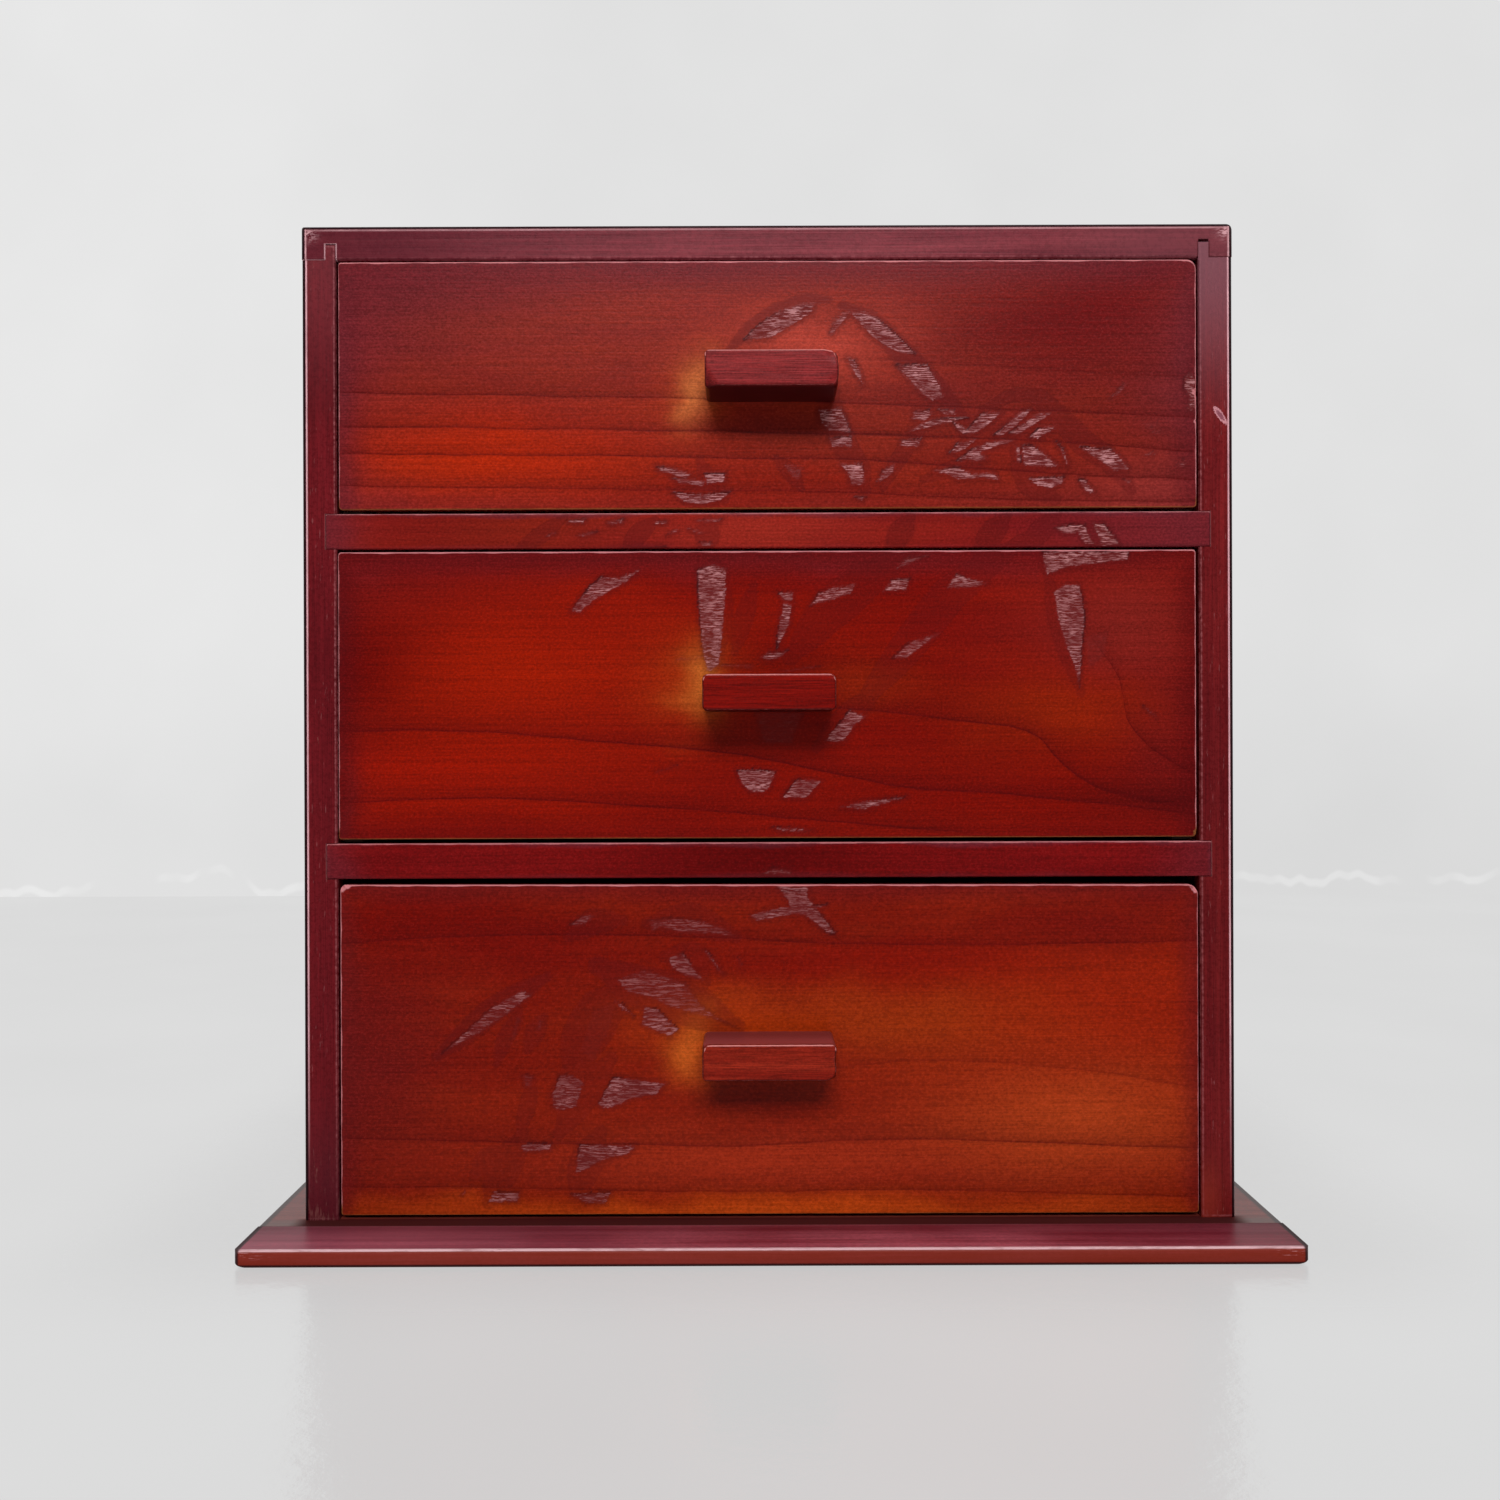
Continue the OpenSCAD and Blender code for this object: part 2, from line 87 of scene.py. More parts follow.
# %% Sockets with arithmetic
class Signal:
    """One output socket of a finish. Arithmetic on it adds Math nodes."""

    def __init__(self, finish, socket):
        self.finish = finish
        self.socket = socket

    def math(self, operation, *others):
        return self.finish.node("Math", {"operation": operation}, dict(enumerate((self, *others))))

    def __add__(self, other):
        return self.math("ADD", other)

    def __mul__(self, other):
        return self.math("MULTIPLY", other)

    def __sub__(self, other):
        return self.math("SUBTRACT", other)

    def __truediv__(self, other):
        return self.math("DIVIDE", other)

    def __rsub__(self, other):
        return self * -1 + other

    def __abs__(self):
        return self.math("ABSOLUTE")

    __radd__ = __add__
    __rmul__ = __mul__

    def at_least(self, other):
        return self.math("MAXIMUM", other)

    def at_most(self, other):
        return self.math("MINIMUM", other)

    def rise(self, start, end):
        """A smooth step from 0 at start to 1 at end. It falls where end is below start."""
        return self.finish.node(
            "MapRange", {"interpolation_type": "SMOOTHSTEP"}, {0: self, 1: start, 2: end})


class Finish:
    """A material, or the world, written as sums of signals.

    color, rough and height are what the surface has so far; height is in millimetres.
    """

    def __init__(self, name, owner=None):
        self.owner = owner or bpy.data.materials.new(name)
        self.owner.use_nodes = True
        self.tree = self.owner.node_tree
        self.tree.nodes.clear()

    def put(self, socket, value):
        if isinstance(value, Signal):
            self.tree.links.new(value.socket, socket)
        elif isinstance(value, tuple) and len(value) == 3 and socket.type == "RGBA":
            socket.default_value = (*value, 1)
        else:
            socket.default_value = value

    def node(self, kind, settings=None, inputs=None, output=0):
        made = self.tree.nodes.new("ShaderNode" + kind)
        for name, value in (settings or {}).items():
            if name == "curve":
                points = made.mapping.curves[0].points
                for place in value[1:-1]:
                    points.new(*place)
                for point, place in ((points[0], value[0]), (points[-1], value[-1])):
                    point.location = place
                made.mapping.update()
            else:
                setattr(made, name, value)
        for key, value in (inputs or {}).items():
            self.put(made.inputs[key], value)
        return Signal(self, made.outputs[output]) if made.outputs else None

    def place(self):
        """Where a point lies on the chest, in millimetres: its x, y and z."""
        metres = self.node("TexCoord", output=3)
        self.vector = self.node("VectorMath", {"operation": "SCALE"}, {0: metres, 3: 1 / MM})
        return [self.node("SeparateXYZ", {}, {0: self.vector}, axis) for axis in range(3)]

    def grain(self, size, detail=2.0, rough=0.5, seed=0.0):
        """Noise from 0 to 1. Its spots are size millimetres large, or size = (x, y, z)."""
        sizes = size if isinstance(size, tuple) else (size,) * 3
        scaled = self.node("VectorMath", {"operation": "MULTIPLY_ADD"}, {
            0: self.vector, 1: tuple(1 / s for s in sizes), 2: (seed, seed * 1.7, seed * 0.6)})
        return self.node("TexNoise", {}, {
            "Vector": scaled, "Scale": 1.0, "Detail": detail, "Roughness": rough})

    def mix(self, mask, under, over):
        """The colour over laid on the colour under where mask is 1."""
        return self.node("Mix", {"data_type": "RGBA"}, {0: mask, 6: under, 7: over}, 2)

    def lay(self, mask, over):
        """Lays a colour on the surface where mask is 1."""
        self.color = self.mix(mask, self.color, over)

    def brighten(self, color, factor):
        return self.node("VectorMath", {"operation": "SCALE"}, {0: color, 3: factor})

    def bump(self, height):
        """A normal for a height in millimetres."""
        return self.node("Bump", {}, {"Height": height, "Strength": 1.0, "Distance": MM})

    def attribute(self, name):
        return self.node("Attribute", {"attribute_name": name}, {}, 2)

    def seen(self):
        """1 where the camera or a mirror image looks, and 0 for the light that falls on things."""
        camera, glossy, clear = (self.node("LightPath", output=output) for output in (0, 3, 6))
        return camera.at_least(glossy).at_least(clear)

    def surface(self, **sockets):
        """Ends the finish in a Principled shader. Socket names are written with underscores."""
        shader = self.node("BsdfPrincipled", {}, {
            "Base Color": self.color, "Roughness": self.rough, "Normal": self.bump(self.height),
            **{name.replace("_", " "): value for name, value in sockets.items()}})
        self.node("OutputMaterial", {}, {"Surface": shader})
        print("finish", self.owner.name, "has", len(self.tree.nodes), "nodes")
        return self.owner


def paint(red, green, blue):
    """A colour as a paint shop gives it, 0 to 255, turned into the light that it reflects."""
    return tuple((v / 255 / 12.92) if v < 11 else ((v / 255 + 0.055) / 1.055) ** 2.4
                 for v in (red, green, blue))


# %% Two helpers for pieces
def box_mm(node):
    """The lowest and highest corner of a CAD node, in millimetres."""
    return [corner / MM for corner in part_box(node)]


def new_piece(name, bm, sharp=None):
    """An object made of a bmesh: faceted, or smooth but for edges above sharp degrees."""
    mesh = bpy.data.meshes.new(name)
    bm.to_mesh(mesh)
    bm.free()
    if sharp:
        mesh.shade_smooth()
        mesh.set_sharp_from_angle(angle=math.radians(sharp))
    made = bpy.data.objects.new(name, mesh)
    bpy.context.collection.objects.link(made)
    print(name, "has", len(mesh.polygons), "faces")
    return made


# %% [markdown]
# ## Studio
# Under each pull the full shadow is 11 mm deep and its soft edge ends at 19 mm, for a pull that
# stands out 22 mm. So one broad lamp stands in front, 34 degrees above the chest, and the rest of
# the room in front is dark: the reds keep hardly any grey sheen. Paper sweeps away behind the
# chest as a floor and a wall. One area lamp, a world that is dark in front and paler beside and
# behind, and two sheets of paper give all of that. A chest turned round would stand against the
# dark part of the room, so the camera and reflections see the room pale from every side.

# %% Floor and wall
WALL_Y = 1.06
# The floor keeps the chest's shadow: how much of its even light shows at the chest's foot, and
# from how near to how far away in millimetres the rest comes in
GLOW_SHARE, GLOW_NEAR, GLOW_FAR = 0.76, 10.0, 95.0
FLOOR_GLOSS = 0.15


def paper(name, color, seen_color, bumpiness, near_chest):
    """Pale paper. Away from the chest the camera and reflections see the floor evenly lit, and the
    wall with painted light and shade.
    """
    f = Finish(name)
    x, y, z = f.place()
    level = 0.97 + f.grain(160, 3) * 0.06
    normal = f.bump(f.grain((7, 7, 5), 4, 0.6) * bumpiness)
    lit = f.node("BsdfPrincipled", {}, {
        "Base Color": f.brighten(color, level), "Roughness": 0.24, "Normal": normal,
        "Specular IOR Level": 0.6})
    share = f.seen()
    if near_chest:
        glow = f.node("Emission", {}, {"Color": f.brighten(seen_color, level)})
        gloss = f.node("BsdfGlossy", {}, {"Roughness": 0.2, "Normal": normal})
        seen = f.node("MixShader", {}, {0: FLOOR_GLOSS, 1: glow, 2: gloss})
        # How far a point of the floor lies from the base board's outline
        beside = (abs(x) - 180).at_least(0.0)
        before = (abs(y - 15) - 120).at_least(0.0)
        away = (beside * beside + before * before).math("SQRT")
        share = share * (away.rise(GLOW_NEAR, GLOW_FAR) * (1 - GLOW_SHARE) + GLOW_SHARE)
    else:
        # A painted highlight along a crease in the paper where it turns up, broken here and there.
        # The wall is also painted lighter to the left and darker near the floor.
        crease = f.grain((110, 900, 900), 3, 0.6, 5.0)
        broken = f.grain((70, 900, 900), 2, 0.5, 9.0).rise(0.4, 0.6)
        crease_highlight = abs(z - crease * 90 + 30).rise(7, 2) * broken
        level = level + x.rise(-150, -700) * 0.06 + crease_highlight * 0.09 - z.rise(330, 40) * 0.07
        seen = f.node("Emission", {}, {"Color": f.brighten(seen_color, level)})
    f.node("OutputMaterial", {}, {"Surface": f.node("MixShader", {}, {0: share, 1: lit, 2: seen})})
    return f.owner


def sheet_of_paper(name, width, length, turn, place, finish):
    bm = bmesh.new()
    bmesh.ops.create_grid(bm, x_segments=8, y_segments=8, size=0.5)
    bmesh.ops.scale(bm, vec=(width, length, 1), verts=bm.verts)
    bmesh.ops.rotate(bm, cent=(0, 0, 0), matrix=Matrix.Rotation(turn, 3, "X"), verts=bm.verts)
    bmesh.ops.translate(bm, vec=place, verts=bm.verts)
    made = new_piece(name, bm)
    made.data.materials.append(finish)


sheet_of_paper("floor", 6, 4, 0, (0, WALL_Y - 2, 0),
               paper("floor_paper", paint(222, 222, 222), paint(222, 222, 222), 0.25, True))
sheet_of_paper("wall", 6, 3, math.radians(90), (0, WALL_Y, 1.5),
               paper("wall_paper", paint(216, 216, 216), paint(225, 225, 225), 0.1, False))

# %% Lamp and world
LAMP_POWER, LAMP_DISTANCE, LAMP_HEIGHT = 74, 3.0, math.radians(34)
lamp_data = bpy.data.lights.new("window_lamp", "AREA")
lamp_data.shape = "RECTANGLE"
lamp_data.size, lamp_data.size_y = 1.5, 0.78
lamp_data.energy = LAMP_POWER
lamp = bpy.data.objects.new("window_lamp", lamp_data)
lamp_aim = Vector((0, -0.1, 0.18))
lamp_way = Vector((0.01, -math.cos(LAMP_HEIGHT), math.sin(LAMP_HEIGHT)))
lamp.location = lamp_aim + LAMP_DISTANCE * lamp_way
lamp.rotation_euler = (lamp.location - lamp_aim).to_track_quat("Z", "Y").to_euler()
bpy.context.collection.objects.link(lamp)

# How bright the camera and reflections see the room where nothing stands
ROOM_SEEN = 0.7
world = bpy.data.worlds.new("room")
bpy.context.scene.world = world
room = Finish("room", world)
toward = room.node("TexCoord", output=0)
depth, height = (room.node("SeparateXYZ", {}, {0: toward}, axis) for axis in (1, 2))
room_light = depth.rise(-0.1, 0.6) * (height.rise(0.3, 0.9) * 1.3 + 0.9) + 0.01
room_light = room_light.at_least(room.seen() * ROOM_SEEN)
background = room.node("Background", {}, {"Color": (1.0, 1.0, 1.0), "Strength": room_light})
room.node("OutputWorld", {}, {"Surface": background})
print("lamp", lamp_data.energy, "W at", [round(v, 2) for v in lamp.location])

# %% [markdown]
# ## Carving
# Bamboo leaves and stems are cut into the drawer fronts and run on over the rails. It is an
# everyday motif in shallow relief: each cut is a flat patch with one steep side, a floor that
# slopes back up to the surface, and ripples left by the gouge. A boolean for each of a hundred
# cuts would be slow and brittle. Instead the front is a fine grid and the cuts are a height
# field on it: every cut is a small outline with a depth and the direction of its steep side.

# %% The cuts
# Each row: depth, direction of the steep side in x and z, then x and z of each corner of the
# outline. All lengths are in millimetres.
CUTS = [
    (0.45, -1, 1, -8.5, 318, -4.5, 322, 0, 325.5, 5.5, 328.5, 13, 330.5, 16.5, 330.5, 16, 327.5, 12,
     325, 6.5, 321.5, 1, 318.5),
    (0.3, -1, 0, 22, 320, 23.5, 323.5, 26, 326.5, 29.5, 327.5, 28, 325, 25, 322, 23.5, 319.5),
    (0.45, 1, 1, 30, 327, 34.5, 327.5, 39.5, 325, 44.5, 321, 49.5, 316, 52.5, 312.5, 47.5, 313, 42,
     315.5, 36.5, 319.5, 33, 323.5),
    (0.6, 0, 1, 45.5, 309, 57, 309, 59, 305, 61.5, 301, 62.5, 297, 58.5, 296, 55, 298.5, 50.5,
     303.5),
    (0.45, 1, 1, 28, 311.5, 31, 310.5, 33, 306.5, 34, 301.5, 31.5, 305, 29.5, 309),
    (0.35, 1, 0, 18, 293, 26, 293.5, 28, 289.5, 29.5, 285, 22, 285.5, 19, 288.5),
    (0.45, 0, 1, 22, 283, 30, 283.5, 30, 279.5, 23, 280),
    (0.3, 1, 1, 26, 273.5, 33.5, 274, 34.5, 270.5, 34, 266, 30, 266, 28, 270.5),
    (0.3, -1, 1, 41, 271.5, 45, 273.5, 45, 270.5, 40, 267, 39, 267.5),
    (0.5, 0, 1, 52, 292, 57.5, 293, 58.5, 291, 55.5, 289, 51.5, 289.5),
    (0.4, 0, 1, 47.5, 282, 54.5, 282.5, 53.5, 279.5, 47.5, 280),
    (0.4, 0, 1, -39.5, 273, -33.5, 272, -27, 270, -28.5, 268.5, -34.5, 270.5, -38.5, 271.5),
    (0.45, 0, 1, -34, 269, -28, 268, -21.5, 267.5, -23.5, 266, -31, 267),
    (0.4, 0, 1, -22.5, 270.5, -15, 270.5, -15.5, 267.5, -21.5, 266.5),
    (0.6, 0, 1, -33.5, 264, -23.5, 263, -13.5, 264, -16.5, 261, -23.5, 259.5, -30, 260.5),
    (0.3, 0, 1, 31, 262, 35, 262, 33.5, 260.5),
    (0.15, 1, 1, 5.5, 273.5, 12.5, 272.5, 11, 267.5, 8.5, 269),
    (0.35, 0, 1, 60.5, 293, 66.5, 292.5, 67, 291, 63, 291),
    (0.45, 0, 1, 50.5, 285, 56, 288.5, 63.5, 290, 71.5, 290, 65, 288.5, 57, 286.5),
    (0.5, -1, 0, 66, 288.5, 70, 286.5, 72.5, 284.5, 69.5, 284, 67, 286.5),
    (0.5, -1, 1, 71.5, 286.5, 76, 291.5, 83, 291.5, 79, 288, 74, 284.5, 70, 284),
    (0.5, -1, 1, 80.5, 284, 85.5, 288, 90.5, 292, 93.5, 292.5, 92, 290.5, 87, 286, 83, 283.5),
    (0.45, -1, 1, 85.5, 284.5, 92, 288.5, 97, 291.5, 100.5, 291, 95.5, 288, 89, 284),
    (0.4, -1, 1, 93, 283, 96, 286, 100, 286.5, 102.5, 286, 98.5, 284, 96, 282.5),
    (0.4, -1, 1, 64.5, 277.5, 67.5, 281, 74, 282, 71, 279.5, 67, 277.5),
    (0.5, -1, 1, 67, 274.5, 72.5, 279, 80.5, 281.5, 87.5, 281.5, 80.5, 279.5, 75, 277.5, 78, 275,
     74, 274.5, 71, 275.5),
    (0.6, 0, 1, 90.5, 280, 93.5, 280.5, 98.5, 277, 103.5, 272.5, 97, 272.5, 91, 273, 90.5, 277),
    (0.4, 1, 0, 88, 279.5, 89.5, 279.5, 90, 275, 89, 273),
    (0.4, 1, 1, 102.5, 281.5, 105, 279, 107, 272.5, 106, 273, 104.5, 278),
    (0.5, 0, 1, 111, 279.5, 121.5, 279, 125.5, 275.5, 128.5, 271.5, 123, 271, 117.5, 275),
    (0.25, 0, 1, 126, 268, 129, 267.5, 128.5, 265.5),
    (0.45, 0, 1, 59.5, 271, 67, 272.5, 72.5, 270, 80.5, 270, 82, 268, 75, 268.5, 67.5, 268, 64.5,
     269.5),
    (0.5, 0, 1, 92.5, 268.5, 105.5, 269, 104.5, 266.5, 100, 264.5, 95.5, 266),
    (0.4, 0, 1, 110.5, 268, 112.5, 268, 116.5, 262.5, 113, 263.5),
    (0.18, -1, 1, 121.5, 296.5, 126.5, 302, 128, 301.5, 124.5, 297.5),
    (0.15, 0, 1, 135.5, 285, 140, 285.5, 141, 284, 137.5, 283.5),
    (0.2, 0, 1, 133.5, 276.5, 137, 277.5, 137.5, 276.5, 135, 276),
    (0.2, 0, 1, 145, 272, 147.5, 275, 149, 272),
    (0.3, 0, 1, -71, 253, -71, 254, -64.5, 254.5, -65, 253),
    (0.3, 0, 1, -57, 253, -51, 254.5, -51.5, 253, -56, 252),
    (0.25, 0, 1, -67.5, 248.5, -60.5, 250, -61.5, 249, -65, 248),
    (0.25, -1, 1, -78.5, 248.5, -75.5, 249.5, -75, 249, -77.5, 248),
    (0.3, 0, 1, -40.5, 252.5, -40, 253, -35.5, 253.5, -36.5, 252.5),
    (0.25, -1, 1, -36, 248.5, -32.5, 250.5, -31.5, 250, -34.5, 248.5),
    (0.25, 0, 1, -28.5, 250.5, -28, 251, -22.5, 249, -24.5, 248.5),
    (0.3, 0, 1, -24, 246, -20, 246, -20.5, 244.5, -23.5, 244.5),
    (0.3, 0, 1, -50, 243.5, -42.5, 244, -36.5, 244.5, -43.5, 243.5),
    (0.3, 0, 1, -25, 253.5, -16.5, 254, -17, 253, -22.5, 253),
    (0.4, -1, 1, -70, 221.5, -67.5, 225.5, -63, 231, -59, 234, -53, 233.5, -46, 236, -51, 231.5,
     -56, 229, -62.5, 225, -66.5, 221.5),
    (0.55, -1, 0, -25, 236.5, -20, 238, -15, 236.5, -15, 227, -16, 216.5, -17, 206, -17.5, 203, -20,
     200, -22, 201, -23.5, 209.5, -24.5, 221.5, -25, 231),
    (0.35, -1, 1, 3.5, 228, 9, 228, 8.5, 225, 5.5, 225),
    (0.4, -1, 0, 5.5, 224, 8.5, 224, 7.5, 216.5, 5.5, 213, 3, 208, 3.5, 215),
    (0.3, -1, 1, 15, 223.5, 18, 228, 24, 230, 31, 231, 30, 228, 23, 225.5),
    (0.3, 0, 1, -3, 205, 0.5, 207, 7, 207.5, 5, 205.5, 0.5, 204),
    (0.15, 0, 1, -33, 204, -32, 205, -23.5, 205.5, -24, 204.5),
    (0.2, 0, 1, -17.5, 202, -16.5, 202.5, -5.5, 202, -6, 201),
    (0.2, 0, 1, 3, 199.5, 10, 201, 18.5, 202, 15, 201),
    (0.35, 0, 1, 41, 228.5, 44, 232.5, 50.5, 233, 49, 229),
    (0.2, 0, 1, 45.5, 236, 49, 240.5, 57, 241, 50, 238),
    (0.35, 0, 1, 63.5, 229.5, 65, 232, 67, 234.5, 71.5, 233, 78, 231, 71.5, 229.5),
    (0.25, -1, 1, 43.5, 204.5, 50, 210.5, 61, 213.5, 56, 209.5, 49, 204.5),
    (0.5, 0, 1, 97.5, 242.5, 106.5, 242.5, 118.5, 242.5, 128, 242.5, 128, 239.5, 115.5, 238, 106.5,
     237, 99, 234, 98, 238),
    (0.55, 1, 0, 101.5, 228, 106, 230.5, 110.5, 230.5, 111.5, 226.5, 112.5, 219.5, 111.5, 209,
     110.5, 194, 109, 200.5, 105.5, 210, 103, 218.5),
    (0.12, 1, 1, 112.5, 212, 120.5, 214, 119.5, 205, 113.5, 200.5),
    (0.25, 0, 1, 133, 187.5, 137, 184.5, 138, 183, 135, 185),
    (0.35, 0, 1, 101.5, 250.5, 107.5, 252, 112.5, 251.5, 115.5, 245, 112.5, 245, 110, 249, 105,
     248.5),
    (0.4, 1, 1, 115.5, 252, 119.5, 252, 124.5, 245, 118.5, 244),
    (0.4, -1, 1, 20, 175.5, 24, 180.5, 29, 186.5, 34.5, 184, 31, 181.5, 27, 175.5, 22.5, 175),
    (0.5, 0, 1, -11.5, 165, -5, 165.5, 2.5, 164.5, 0.5, 159.5, -2, 157, -6.5, 157.5, -10, 161),
    (0.5, -1, 1, 5, 155.5, 10, 162, 18.5, 161, 15.5, 157.5, 13, 155),
    (0.5, 0, 1, 25.5, 152, 34, 154, 49, 155.5, 41, 153, 33, 151),
    (0.3, 0, 1, 1.5, 145, 8.5, 144.5, 16, 143.5, 9.5, 143, 4, 143.5),
    (0.25, 0, 1, -40, 164.5, -32.5, 167, -36.5, 165.5),
    (0.15, 0, 1, -5, 185.5, 12.5, 185.5, 8, 174.5, -2, 175),
    (0.2, 0, 1, -4, 128, 1.5, 130.5, 8, 129.5, 8, 128),
    (0.25, 0, -1, 3, 124.5, 14, 124.5, 12, 122.5, 5, 122.5),
    (0.5, 1, 0, 3, 124, 14, 124, 13.5, 120.5, 16.5, 116.5, 19.5, 112.5, 23.5, 107, 21, 107, 15.5,
     111.5, 12.5, 113.5, 8.5, 114, -4.5, 111.5, -6.5, 113.5, -0.5, 115.5, 7.5, 117, 6.5, 119.5),
    (0.4, 0, 1, 14, 117, 20.5, 117.5, 17.5, 116),
    (0.3, -1, 1, -70.5, 110.5, -66, 114, -61.5, 114, -65, 111, -68.5, 110),
    (0.22, 0, 1, -43, 112, -34.5, 113, -24.5, 112, -16.5, 109.5, -11.5, 106, -20.5, 107, -31.5,
     107.5, -38.5, 109.5, -41.5, 108),
    (0.35, 1, 1, -36, 98.5, -30.5, 100.5, -26.5, 94.5, -23, 90.5, -29.5, 92, -34.5, 95),
    (0.35, 1, 1, -23.5, 101.5, -21.5, 100.5, -16, 92.5, -18.5, 94.5),
    (0.2, 1, 1, -11.5, 99, -9.5, 96.5, -10, 95),
    (0.22, 1, 1, -54.5, 91, -44.5, 94.5, -34.5, 91.5, -29.5, 89.5, -24.5, 82.5, -18.5, 77.5, -11,
     73.5, -19.5, 76.5, -29.5, 79.5, -36.5, 81.5, -42.5, 84.5, -50.5, 86.5),
    (0.3, 1, 1, -55.5, 84, -51.5, 82, -48, 78, -52.5, 80),
    (0.35, 1, 1, -44.5, 81.5, -39.5, 80.5, -32.5, 73.5, -35, 70.5, -45.5, 75),
    (0.25, -1, 1, -116.5, 65, -106, 74.5, -99, 81, -88, 87.5, -84, 86, -94, 78, -105, 71),
    (0.15, -1, 0, -92, 70, -89.5, 78, -88.5, 78, -90.5, 70),
    (0.15, 1, 0, -83, 73, -82, 78, -80, 76, -81.5, 72.5),
    (0.08, 0, 1, -67.5, 66, -62.5, 80, -54.5, 83, -56.5, 74, -62.5, 62),
    (0.35, -1, 1, -77.5, 49.5, -74.5, 57.5, -70, 57, -66, 54.5, -68.5, 46, -74.5, 44.5, -77, 46),
    (0.4, -1, 1, -61, 47, -55.5, 56.5, -44.5, 55, -37, 54, -40.5, 50, -48.5, 49, -55.5, 45.5, -59.5,
     45.5),
    (0.2, 0, 1, -88, 57.5, -84, 57, -85, 52.5, -87, 53),
    (0.35, 0, 1, -89, 32, -85.5, 33, -77.5, 32.5, -78, 30.5, -87.5, 30),
    (0.4, -1, 1, -67.5, 32.5, -47.5, 32, -50.5, 29, -59.5, 27, -66.5, 23, -69, 22.5, -68.5, 27.5),
    (0.35, 0, 1, -100.5, 12, -98, 16, -89, 15.5, -89.5, 12),
    (0.35, 0, 1, -71, 15, -56.5, 15.5, -58.5, 11.5, -65.5, 11.5),
    (0.2, -1, 1, -110, 14.5, -108.5, 16.5, -107.5, 16, -109, 14),
    (0.25, -1, 0, 148.2, 304.5, 150.5, 305.5, 152.6, 303, 151.4, 299.5, 152.8, 296, 151.2, 291.5,
     149, 292.5, 150, 297, 147.6, 300.5),
    (0.12, 0, 1, 133.5, 287.5, 139, 288.5, 140, 286, 135, 285.5),
    (0.12, 0, 1, 143.5, 274.5, 149, 275.5, 150, 273.2, 145, 272.3),
]
# Darker leaf-shaped bands laid on the stain: darkness, width, then x and z along the middle line
DARK_BANDS = [
    (0.7, 6, -14, 314, -6, 322, 4, 328, 14, 332, 22, 332),
    (0.7, 8, 27, 330, 37, 325, 45, 316, 54, 307, 62, 299, 71, 289),
    (0.45, 9, 19, 297, 25, 287, 28, 279, 33, 272, 35, 264),
    (0.5, 6, 41, 265, 45, 273, 51, 282, 58, 292),
    (0.6, 9, 95, 296, 104, 290, 112, 281, 121, 275, 129, 264),
    (0.5, 5, 76, 293, 87, 298, 97, 298, 105, 293),
    (0.45, 6, 55, 268, 66, 272, 81, 270),
    (0.4, 6, 3, 276, 8, 271, 12, 265),
    (0.45, 7, -24, 275, -21, 268, -15, 261),
    (0.5, 11, 88, 278, 94, 267, 102, 261),
    (0.5, 6, -90, 242, -79, 250, -72, 255),
    (0.5, 7, -51, 243, -46, 249, -40, 254),
    (0.4, 9, -22, 243, -21, 254),
    (0.35, 9, 43, 243, 51, 255),
    (0.35, 9, 74, 243, 85, 255),
    (0.45, 8, 91, 243, 97, 250, 103, 256),
    (0.5, 13, 32, 188, 44, 202, 56, 217, 64, 227, 78, 238, 90, 246),
    (0.4, 15, 8, 205, 20, 220, 34, 232, 49, 241),
    (0.4, 7, -5, 231, -8, 221, -12, 207),
    (0.45, 9, 17, 173, 30, 186, 39, 193),
    (0.35, 12, -20, 202, -18, 224, -19, 239),
    (0.35, 8, 99, 235, 103, 218, 111, 192),
    (0.8, 9, -118, 64, -108, 72, -100, 79, -91, 85, -79, 92),
    (0.7, 6, -97, 61, -94, 70, -90, 77, -89, 83),
    (0.6, 7, -86, 66, -83, 73, -80, 78),
    (0.5, 11, -75, 36, -69, 46, -63, 55, -56, 63),
    (0.6, 17, -71, 58, -66, 70, -60, 80, -50, 87),
    (0.75, 17, -61, 96, -48, 89, -36, 85, -24, 80, -12, 74),
    (0.5, 6, -89, 36, -86, 46, -84, 56),
    (0.55, 9, -71, 106, -62, 112, -52, 112),
    (0.6, 11, -43, 111, -28, 113, -12, 106),
    (0.5, 11, -37, 99, -28, 99, -23, 90),
    (0.45, 9, -105, 22, -100, 27, -94, 31),
    (0.4, 12, -100, 12, -95, 23, -88, 36),
    (0.4, 12, -69, 14, -66, 24, -60, 37),
]
print(len(CUTS), "cuts and", len(DARK_BANDS), "bruised leaves")


# %% Height field of the cuts
def pairs(numbers):
    """Numbers in a row, taken two by two."""
    return list(zip(numbers[::2], numbers[1::2]))


def inside_distance(x, z, outline):
    """How far points lie inside an outline, in millimetres: below 0 outside it."""
    nearest = np.full(x.shape, np.inf)
    inside = np.zeros(x.shape, bool)
    for (ax, az), (bx, bz) in zip(outline, outline[1:] + outline[:1]):
        ex, ez = bx - ax, bz - az
        along = np.clip(((x - ax) * ex + (z - az) * ez) / (ex * ex + ez * ez), 0, 1)
        nearest = np.minimum(nearest, np.hypot(x - ax - along * ex, z - az - along * ez))
        crossing = (az > z) != (bz > z)
        inside ^= crossing & (x < ex * (z - az) / (ez if ez else 1e-9) + ax)
    return np.where(inside, nearest, -nearest)


def ease(t):
    t = np.clip(t, 0, 1)
    return t * t * (3 - 2 * t)


def waver(t, seed):
    """A slow, irregular wave around 0 along t, the same on every run."""
    return sum(math.sin(seed * (k + 2.3)) * np.sin(t * (0.23 * k * k + 0.11) + seed * 1.9 * k)
               for k in (1, 2, 3, 4)) / 2


